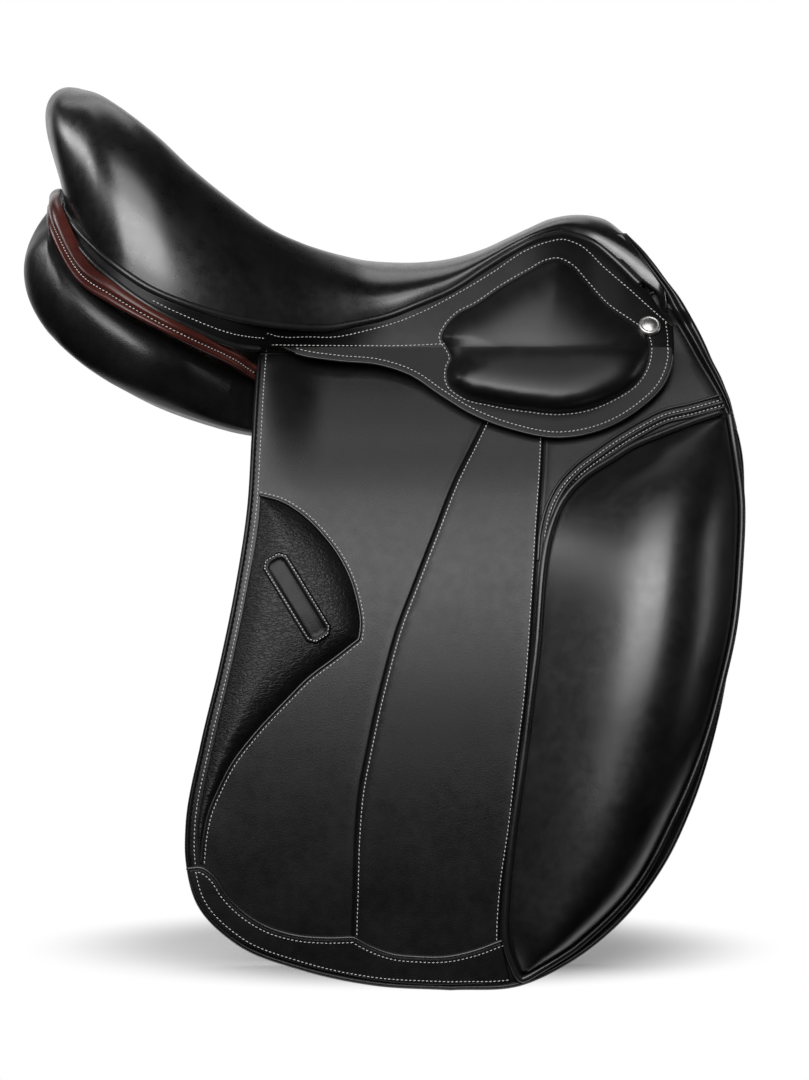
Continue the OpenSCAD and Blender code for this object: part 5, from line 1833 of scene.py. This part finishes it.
@dataclass
class Underside:
    """Panels, sweat flaps, facings, girth straps and linings that the flaps cover."""

    finishes: Finishes
    stitches: StitchTree
    channel: float = 34.0
    panel_rear: float = -246.0
    panel_front: float = 184.0
    panel_nose: float = 7.0
    bulb: float = 18.6
    bulb_mid: tuple[float, float] = (75.0, 121.0)
    sweat_t: float = 3.0
    sweat_stitch: float = 6.0
    sweat_stitch_top: float = 38.0
    row_break: float = 10.0
    strap_xs: tuple[float, float] = (38.0, -14.0)
    strap_w: float = 25.0
    strap_t: float = 4.0
    web_t: float = 2.5
    strap_top: float = 34.0
    strap_straight: float = 14.0
    strap_flat: float = -205.0
    strap_free: float = -120.0
    strap_in: float = 10.5
    facing_in: float = 3.2
    facing_rise: float = 5.2
    facing_rise_z: tuple[float, float] = (80.0, 94.0)
    facing_drop: float = 7.0
    facing_drop_z: tuple[float, float] = (122.0, 147.0)
    facing_flat_t: float = 0.7
    facing_rib_t: float = 2.6
    facing_soft: float = 12.0
    flat_out: float = 159.0
    strap_drop: float = 345.0
    strap_tip: float = 6.0
    tip_cut: float = 9.0
    hole_r: float = 2.6
    hole_pitch: float = 20.0
    hole_n: int = 6
    hole_low: float = 20.0
    strap_stitch: float = 3.0
    strap_edge: float = 0.55
    lining_x: tuple[float, float] = (110.0, 174.0)
    facing_z: tuple[float, float] = (8.0, 147.0)
    facing_rib: float = 0.46
    strip_rib: float = 0.6
    web_tacks: Table = ((58.9, 109.0), (64.7, 99.0))
    web_bend: Table = ((75, 80), (79, 64), (84, 50))
    top_in: Profile = Profile(((-246, 168), (-235, 156), (-222, 142), (-200, 126), (-150, 98), (-100, 82),
                               (-50, 78), (0, 78), (60, 82), (120, 86), (188, 88)))
    top_z: Profile = Profile(((-246, 138), (-235, 121), (-215, 99.5), (-187, 80), (-153, 63), (-104, 42.6),
                              (-60, 38), (0, 38), (60, 38), (112, 36), (188, 38)))
    top_out: Profile = Profile(((-246, 110), (-235, 126), (-215, 141), (-187, 147), (-153, 139),
                                (-128, 118), (-104, 98), (-88, 88), (-60, 78), (0, 74), (60, 66), (112, 50),
                                (188, 50)))
    mid_out: Profile = Profile(((-246, 125), (-235, 138), (-198, 151), (-170, 149), (-128, 124),
                                (-104, 107), (-88, 97), (-60, 90), (0, 88), (60, 84), (112, 80), (188, 80)))
    low_out: Profile = Profile(((-246, 112), (-235, 122), (-198, 134), (-170, 130), (-128, 116),
                                (-104, 106), (-60, 98), (0, 95), (60, 98), (120, 106), (165, 110),
                                (188, 106)))
    low_z: Profile = Profile(((-246, 76), (-235, 64.5), (-219, 51), (-198, 37.5), (-170, 24), (-128, 10),
                              (-104, 5), (-60, -2), (0, -8), (60, -14), (120, -30), (165, -40), (188, -32)))
    in_z: Profile = Profile(((-246, 100), (-235, 91), (-200, 72), (-150, 50), (-100, 38), (-50, 32),
                             (0, 30), (60, 34), (120, 42), (188, 52)))
    strip_top: Table = ((-245, 0, 181), (-244, 46, 177), (-239.5, 95, 163), (-220, 129.5, 126),
                        (-198, 146, 109), (-172, 152, 91), (-146, 147, 77), (-118, 126, 64),
                        (-106, 112, 56), (-95, 102, 49))
    strip_low: Table = ((-249, 0, 166), (-248.5, 47, 162), (-244.5, 97, 144), (-225, 132.5, 110.5),
                        (-200, 150, 93), (-172, 155.5, 78), (-146, 150, 65), (-118, 128.5, 52),
                        (-106, 113.5, 44.5), (-95, 103, 38))
    sweat_rear: Profile = Profile(((-347, 20), (-343, -40), (-328, -95), (-300, -122), (-262, -126),
                                   (-212, -118), (-157, -108), (-100, -98), (-46, -92), (0, -90),
                                   (45, -88)))
    sweat_front: Profile = Profile(((-347, 42), (-342, 80), (-322, 130), (-290, 166), (-250, 189),
                                    (-198, 207), (-143, 219), (-90, 228), (-46, 233), (0, 230), (24, 220),
                                    (45, 209)))
    face_rear: Profile = Profile(((8, 234.2), (16, 231.6), (28, 227.2), (36, 223.4), (54, 214), (72.6, 204),
                                  (92.3, 192.6), (106.8, 185.6), (121.3, 175.4), (136, 165.2), (147, 157)))
    face_front: Profile = Profile(((8, 235.8), (16, 234.0), (28, 231.2), (34, 229.0), (45, 224.8),
                                   (56, 219.4), (67.5, 214.7), (79, 209.3), (90, 203.2), (101.7, 196.3),
                                   (113, 187.9), (124.5, 179.7), (136, 170.7), (147, 160)))
    lining: Table = ((0, 110.7), (23, 110.2), (37, 104.8), (45.2, 94.2), (50.0, 85.0), (50.5, 80.0))

    def ring(self, x: Array, count: int = 64) -> Array:
        """Closed sections of a panel.

        Args:
            x: Places along the saddle.
            count: Points of each section.

        Returns:
            Points of the sections.
        """
        c = self.channel + 8.0 * (np.maximum(0.0, -220.0 - x) / 26.0) ** 2
        ti, tz, to, mo = self.top_in(x), self.top_z(x), self.top_out(x), self.mid_out(x)
        lo, lz, iz = self.low_out(x), self.low_z(x), self.in_z(x)
        corners = np.stack([np.stack(pair, axis=1) for pair in (
            (c, (ti + iz) / 2), (c + 3, ti - 3), (mix(c, to, 0.5), mix(ti, tz, 0.4)), (to, tz),
            (mo, mix(tz, lz, 0.55)), (lo, lz), (mix(c, lo, 0.5), mix(iz, lz, 0.55) - 3),
            (c + 4, iz + 2))], axis=1)
        n = corners.shape[1]
        s = np.linspace(0, n, count, endpoint=False)
        k = np.floor(s).astype(int)
        section = catmull(*(corners[:, (k + i) % n] for i in (-1, 0, 1, 2)), (s - k)[None, :, None])
        return np.concatenate([np.repeat(x[:, None, None], count, axis=1), section], axis=2)

    def panel(self) -> Solid:
        """Wool-filled panel with rounded ends.

        Returns:
            The panel.
        """
        rings = list(self.ring(np.linspace(self.panel_rear, self.panel_front, 150)))
        head, tail = [], []
        middle = np.array([self.panel_rear, *self.bulb_mid])
        for k in np.linspace(0.04, 0.98, 22):
            head.append(middle + (rings[0] - middle) * k - np.array([self.bulb * (1 - k * k), 0.0, 0.0]))
        middle = rings[-1].mean(axis=0)
        for turn in np.radians([10, 20, 30, 40, 50, 60, 69, 78, 86]):
            shrunk = middle + (rings[-1] - middle) * (1 - 0.55 * (1 - math.cos(turn)))
            tail.append(shrunk + np.array([self.panel_nose * math.sin(turn), 0.0, 0.0]))
        return loft(np.array(head + rings + tail))

    def build(self) -> None:
        """Builds the strip under the cantle, the lining and both sides' pieces."""
        self.cantle_strip()
        self.arch_lining()
        for side in Side:
            place(self.panel(), "wool_panel", side, self.finishes.panel, ROOT, "panel", sharp=80, fill=0.75)
            edge = self.sweat_edge()
            sheet = Outlined(edge, (0.3, 0.8, 1.5, 3.0), 7.0).sheet(sweat_out, self.sweat_t)
            place(sheet, "sweat_leather", side, self.finishes.smooth, ROOT, "sweat_flap")
            self.front_facing(side)
            for x, name in zip(self.strap_xs, ("front", "rear")):
                self.strap(side, x, name)
            self.girth_webs(side)
            self.sew_sweat(side, edge)

    def sweat_edge(self) -> Array:
        """Outline of the sweat flap.

        Returns:
            Points of the outline.
        """
        z = np.concatenate([np.linspace(45, -300, 120), np.linspace(-301, -347, 60)])
        rear, front = self.sweat_rear.line(z, 2.5), self.sweat_front.line(z[::-1], 2.5)
        return outline(rear, even([rear[-1], front[0]], 2.5), front, even([front[-1], rear[0]], 2.5))

    def sew_sweat(self, side: Side, edge: Array) -> None:
        """Sets the stitching round the sweat flap.

        Args:
            side: Side to sew.
            edge: Outline of the sweat flap.
        """
        hem = beside(edge, self.sweat_stitch, True)
        points, up = on_face(sweat_out, hem[hem[:, 1] < self.sweat_stitch_top], 0.1)
        breaks = np.linalg.norm(np.diff(points, axis=0), axis=1) > self.row_break
        cut = int(np.argmax(breaks)) + 1 if breaks.any() else 0
        run = (np.roll(points, -cut, axis=0), np.roll(up, -cut, axis=0))
        settle(self.stitches.sew(f"sweat_stitches_{side.word}", side, [run]), ROOT)

    def front_facing(self, side: Side) -> None:
        """Builds the double welt along the front of the flap and the pommel.

        Args:
            side: Side to build.
        """
        low, high = self.facing_z
        z = even([(0.0, high), (0.0, low)], 1.2)[:, 1]
        rear, front = self.face_rear(z), self.face_front(z)
        u = np.linspace(0.0, 1.0, 29)[:, None]
        x = mix(rear, front, u)
        part = self.facing_rib
        rib = np.abs(np.sin(math.pi * np.where(u < part, u / part, (u - part) / (1.0 - part)))) ** 0.55
        level = np.broadcast_to(z, x.shape)
        base = (flap_out(x, level) - self.facing_in + self.facing_rise * ramp(z, *self.facing_rise_z)
                - self.facing_drop * ramp(z, *self.facing_drop_z))
        thick = self.facing_flat_t + self.facing_rib_t * rib
        height = base + thick * rounded(np.minimum(high - z, z - low), self.facing_soft)
        tucked = rear - np.array([6.0, 1.5])[:, None]
        under = flap_out(tucked, level[:2]) - 5.0
        x = np.vstack([tucked, x])
        level = np.broadcast_to(z, x.shape)
        outer = np.stack([x, np.vstack([under, height]), level], axis=-1)
        inner_y = np.vstack([under - 0.6, np.minimum(base - 0.2, under[1] - 0.6)])
        welt = slab(outer, np.stack([x, inner_y, level], axis=-1))
        place(welt, "front_strip", side, self.finishes.edge, ROOT, "front_facing", sharp=75)

    def strap_out(self, x: Array, z: Array) -> Array:
        """Middle of a girth strap's thickness, straight where the strap is sewn to its web.

        Args:
            x: Places along the saddle, which all lie equally far out.
            z: Heights.

        Returns:
            Distances from the middle.
        """
        def hung(z: Array | float) -> Array:
            """Middle of the thickness below the web."""
            curved = mix(BARREL(z) - self.strap_in, self.flat_out, ramp(z, self.strap_free, self.strap_flat))
            return np.where(z < self.strap_flat, self.flat_out, curved)

        share = (z - self.strap_straight) / (self.strap_top - self.strap_straight)
        line = mix(hung(self.strap_straight), hung(self.strap_top), share)
        return np.where(z > self.strap_straight, line, hung(z))

    def strap(self, side: Side, x: float, name: str) -> None:
        """Builds one girth strap with its holes and edge stitching.

        Args:
            side: Side to build.
            x: Middle of the strap along the saddle.
            name: Front or rear.
        """
        half, low, half_t = self.strap_w / 2, -self.strap_drop, self.strap_t / 2
        corners = [(x - half, self.strap_top), (x - half, low + self.tip_cut), (x - self.strap_tip, low),
                   (x + self.strap_tip, low), (x + half, low + self.tip_cut), (x + half, self.strap_top)]
        plan = Outlined(polygon(corners, 2.0), (0.3, 0.8, 1.5, 2.4), 4.0)

        def swell(d: Array) -> Array:
            """Half of the thickness at distance d inside the edge."""
            return half_t * mix(self.strap_edge, 1.0, rounded(d, 1.2))

        solid = plan.solid(lambda x, z, d: self.strap_out(x, z) + swell(d),
                           lambda x, z, d: self.strap_out(x, z) - swell(d))
        word, body = side.word, f"billet_{name}_{side.word}_body"
        obj = solid.object(f"girth_strap_{name}_{word}", side, self.finishes.smooth)
        self.punch(obj, side, x)
        settle(obj, body, f"billet_{name}_{word}")
        row_x = half - self.strap_stitch
        z = np.linspace(self.strap_top - 4, low + 12, 260)
        rows = [np.stack([np.full_like(z, x + shift), z], axis=1) for shift in (-row_x, row_x)]
        lines = [on_face(lambda a, b: self.strap_out(a, b) + half_t, row, 0.05) for row in rows]
        settle(self.stitches.sew(f"girth_strap_{name}_stitches_{word}", side, lines), body)

    def punch(self, obj: bpy.types.Object, side: Side, x: float) -> None:
        """Cuts the buckle holes through a strap.

        Args:
            obj: The strap.
            side: Side that it hangs on.
            x: Middle of the strap along the saddle.
        """
        bm = bmesh.new()
        radius = self.hole_r * MM
        for k in range(self.hole_n):
            z = -self.strap_drop + self.hole_low + k * self.hole_pitch
            pin = bmesh.ops.create_cone(bm, cap_ends=True, segments=28, radius1=radius, radius2=radius,
                                        depth=0.02)
            for v in pin["verts"]:
                v.co = Vector((x * MM + v.co.x, side.value * self.flat_out * MM + v.co.z, z * MM + v.co.y))
        bmesh.ops.recalc_face_normals(bm, faces=bm.faces)
        mesh = bpy.data.meshes.new("punch")
        bm.to_mesh(mesh)
        bm.free()
        cutter = stand("punch", mesh)
        modifier = obj.modifiers.new("holes", "BOOLEAN")
        modifier.operation, modifier.solver, modifier.object = "DIFFERENCE", "EXACT", cutter
        bake(obj).set_sharp_from_angle(angle=math.radians(50))
        bpy.data.objects.remove(cutter)

    def girth_webs(self, side: Side) -> None:
        """Builds the webs that the straps hang from.

        Args:
            side: Side to build.
        """
        ends = np.array([self.strap_top, self.strap_straight + 2.0])
        behind = self.strap_out(ends, ends) - (self.strap_t / 2 + self.web_t / 2 + 0.6)
        shift = np.array([0.0, self.web_t / 2, 0.0])
        bands = []
        for x, (out, z) in zip(self.strap_xs, self.web_tacks):
            path = spline([(out, z), (out + 5, z - 7), *self.web_bend, *zip(behind, ends)], 3.0)
            xs = np.linspace(x - self.strap_w / 2, x + self.strap_w / 2, 7)
            grid = np.stack([np.insert(path, 0, v, axis=1) for v in xs], axis=1)
            bands.append(slab(grid + shift, grid - shift))
        place(joined(bands), "girth_web", side, self.finishes.web, ROOT, "girth_webs", slot=Slot.WEBBING)

    def cantle_strip(self) -> None:
        """Builds the chestnut strip under the cantle with two ribs and its stitching."""
        s = np.linspace(0, len(self.strip_top) - 1, 90)
        halves = (along_points(np.array(t, float), s) for t in (self.strip_top, self.strip_low))
        top, low = (np.vstack([half[:0:-1] * MIRROR, half]) for half in halves)
        out = level_out(np.gradient(top + low, axis=0))
        v = np.linspace(0, 1, 41)
        part = self.strip_rib
        share = np.where(v < part, v / part, (v - part) / (1.0 - part))
        rib = np.where(v < part, 3.4, 2.6) * np.maximum(0.0, np.sin(math.pi * share)) ** 0.6 - 0.6
        grid = top[None] * (1 - v)[:, None, None] + low[None] * v[:, None, None]
        strip = slab(grid + out[None] * rib[:, None, None], grid - 3.0 * out[None])
        obj = strip.object("chestnut_strip", Side.LEFT, self.finishes.brown, sharp=75)
        settle(obj, ROOT, "cantle_strip", slot=Slot.BROWN)
        run = (top * (1 - part) + low * part + out * 0.9, unit(out + 0.9 * UP))
        settle(self.stitches.sew("chestnut_strip_stitches", Side.LEFT, [run]), ROOT, slot=Slot.BROWN)

    def arch_lining(self) -> None:
        """Builds the leather lining under the pommel arch."""
        half = spline(self.lining, 2.5)
        path = np.vstack([half[:0:-1] * np.array([-1.0, 1.0]), half])
        xs = np.linspace(*self.lining_x, 24)
        outer, inner = (np.array([np.insert(beside(path, gap), 0, x, axis=1) for x in xs])
                        for gap in (1.0, -1.0))
        obj = slab(outer, inner).object("arch_lining", Side.LEFT, self.finishes.panel, sharp=70)
        settle(obj, ROOT, "gullet_lining")


# Packed metal and wood

@dataclass
class Hardware:
    """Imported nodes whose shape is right, which get their finishes here."""

    finishes: Finishes

    def dress(self) -> None:
        """Gives the tree, its head and the stirrup bars their finishes."""
        wood, steel = self.finishes.wood, self.finishes.steel
        plan = {"tree": wood, "tree_head": wood, "head_plate": steel}
        for side in Side:
            for name in ("stirrup_bar", "thumb_catch", "catch_pin", "bar_rivets"):
                plan[f"{name}_{side.word}"] = steel
        for name, material in plan.items():
            obj = frame["nodes"][name]
            obj.data.materials.clear()
            obj.data.materials.append(material)
            LOG.info("%s: finished", name)


# Studio

@dataclass(frozen=True)
class Softbox:
    """Rectangular lamp that points at a place on the saddle."""

    name: str
    at: tuple[float, float, float]
    size: tuple[float, float]
    watts: float
    aim: tuple[float, float, float] = (0.0, -0.15, -0.02)

    def build(self) -> None:
        """Adds the lamp."""
        data = bpy.data.lights.new(self.name, "AREA")
        data.shape = "RECTANGLE"
        data.size, data.size_y = self.size
        data.energy = self.watts
        lamp = stand(self.name, data)
        lamp.location = self.at
        lamp.rotation_euler = (Vector(self.aim) - Vector(self.at)).to_track_quat("-Z", "Y").to_euler()


@dataclass
class Studio:
    """Camera, lamps, pale floor and white surroundings."""

    camera_at: tuple[float, float, float] = (0.00315, -5.0, -0.07)
    lens: float = 233.33
    sensor: float = 36.0
    far: float = 50.0
    floor_z: float = -0.3835
    floor_y: float = 0.42
    floor_r: float = 0.6
    fade: tuple[float, float] = (0.30, 0.57)
    ambient: float = 0.1
    lamps: tuple[Softbox, ...] = (
        Softbox("key", (-0.40, -2.22, 0.90), (2.24, 1.19), 59.0),
        Softbox("key_high", (-0.12, -1.56, 1.665), (1.6, 0.86), 13.0),
        Softbox("key_left", (-1.67, -1.32, 1.06), (1.1, 0.46), 3.4),
        Softbox("key_rear", (-1.77, 0.16, 1.06), (1.53, 0.37), 12.0),
        Softbox("right", (1.99, -0.05, 0.15), (0.35, 1.0), 2.6),
        Softbox("right_rear", (1.08, 1.71, 0.44), (0.8, 1.6), 4.0),
        Softbox("rear_top", (-0.25, 1.1, 1.65), (1.5, 1.1), 6.5),
    )

    def clear(self) -> None:
        """Removes what Blender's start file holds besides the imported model."""
        kept = {*frame["nodes"].values(), *frame["bodies"].values()}
        for obj in list(bpy.data.objects):
            if obj not in kept:
                bpy.data.objects.remove(obj)

    def build(self) -> None:
        """Adds the camera, the lamps, the floor and the world."""
        scene = bpy.context.scene
        data = bpy.data.cameras.new("camera")
        data.lens = self.lens
        data.sensor_fit = "VERTICAL"
        data.sensor_height = self.sensor
        data.clip_end = self.far
        camera = stand("camera", data)
        camera.location = self.camera_at
        camera.rotation_euler = (math.radians(90.0), 0.0, 0.0)
        scene.camera = camera
        scene.view_settings.view_transform = "Standard"
        for lamp in self.lamps:
            lamp.build()
        self.floor()
        self.world()

    def floor(self) -> None:
        """Adds the pale floor, which fades into the white surroundings."""
        bm = bmesh.new()
        bmesh.ops.create_circle(bm, cap_ends=True, segments=96, radius=self.floor_r)
        for v in bm.verts:
            v.co.y += self.floor_y
            v.co.z = self.floor_z
        mesh = bpy.data.meshes.new("floor")
        bm.to_mesh(mesh)
        bm.free()
        mesh.materials.append(self.floor_finish())
        stand("floor", mesh)

    def floor_finish(self) -> bpy.types.Material:
        """Pale paper that glows white towards its rim, where it is seen.

        Returns:
            The material.
        """
        n = Paint("pale_floor")
        centred = n.vectors("SUBTRACT", n.place, (0.0, self.floor_y, 0.0))
        flat = n.vectors("MULTIPLY", centred, (1.9, 1.0, 0.0))
        span = n.add("ShaderNodeVectorMath", {0: flat}, operation="LENGTH").outputs["Value"]
        low, high = self.fade
        away = n.add("ShaderNodeMapRange", {"Value": span, "From Min": low, "From Max": high},
                     interpolation_type="SMOOTHSTEP").outputs["Result"]
        rays = n.add("ShaderNodeLightPath").outputs
        mirrored = n.maths("MAXIMUM", rays["Is Glossy Ray"], rays["Is Transmission Ray"])
        seen = n.maths("MAXIMUM", rays["Is Camera Ray"], mirrored)
        glow = n.add("ShaderNodeEmission", {"Color": (1.0, 1.0, 1.0, 1.0), "Strength": 1.0})
        share = n.maths("MULTIPLY", away, seen)
        blend = n.add("ShaderNodeMixShader", {0: share, 1: n.shader.outputs[0], 2: glow.outputs[0]})
        n.put(n.tree.nodes["Material Output"].inputs["Surface"], blend.outputs[0])
        paper = n.shade(n.noise(300.0), (0.84, 0.84, 0.84), (0.86, 0.86, 0.86))
        return n.dressed({"Base Color": paper, "Roughness": 0.9})

    def world(self) -> None:
        """Sets surroundings that look white and light the saddle softly."""
        world = bpy.data.worlds.new("studio")
        world.use_nodes = True
        n = Nodes(world.node_tree)
        back = n.tree.nodes["Background"].inputs
        axes = n.add("ShaderNodeSeparateXYZ", {0: n.add("ShaderNodeTexCoord").outputs["Generated"]})
        behind = n.add("ShaderNodeMapRange", {"Value": axes.outputs["Y"], "From Min": 0.80, "From Max": 0.95},
                       interpolation_type="SMOOTHSTEP").outputs["Result"]
        rays = n.add("ShaderNodeLightPath").outputs
        mirrored = n.maths("MAXIMUM", rays["Is Glossy Ray"], rays["Is Transmission Ray"])
        shown = n.maths("MAXIMUM", rays["Is Camera Ray"], n.maths("MULTIPLY", mirrored, behind))
        soft = n.maths("MULTIPLY", rays["Is Diffuse Ray"], self.ambient)
        n.put(back["Strength"], n.maths("MAXIMUM", shown, soft))
        n.put(back["Color"], (1.0, 1.0, 1.0, 1.0))
        world.cycles.sampling_method = "NONE"
        bpy.context.scene.world = world


def main() -> None:
    """Builds the saddle's looks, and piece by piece."""
    logging.basicConfig(level=logging.INFO, format="%(name)s %(message)s")
    studio = Studio()
    studio.clear()
    finishes = Finishes()
    stitches = StitchTree(finishes.thread)
    seat = Seat(finishes)
    seat.build()
    skirt = Skirt(finishes, stitches, seat)
    flap = Flap(finishes, stitches)
    for side in Side:
        skirt.build(side)
        flap.build(side)
    Underside(finishes, stitches).build()
    Hardware(finishes).dress()
    studio.build()
    bpy.context.view_layer.update()


if __name__ == "__main__":
    main()
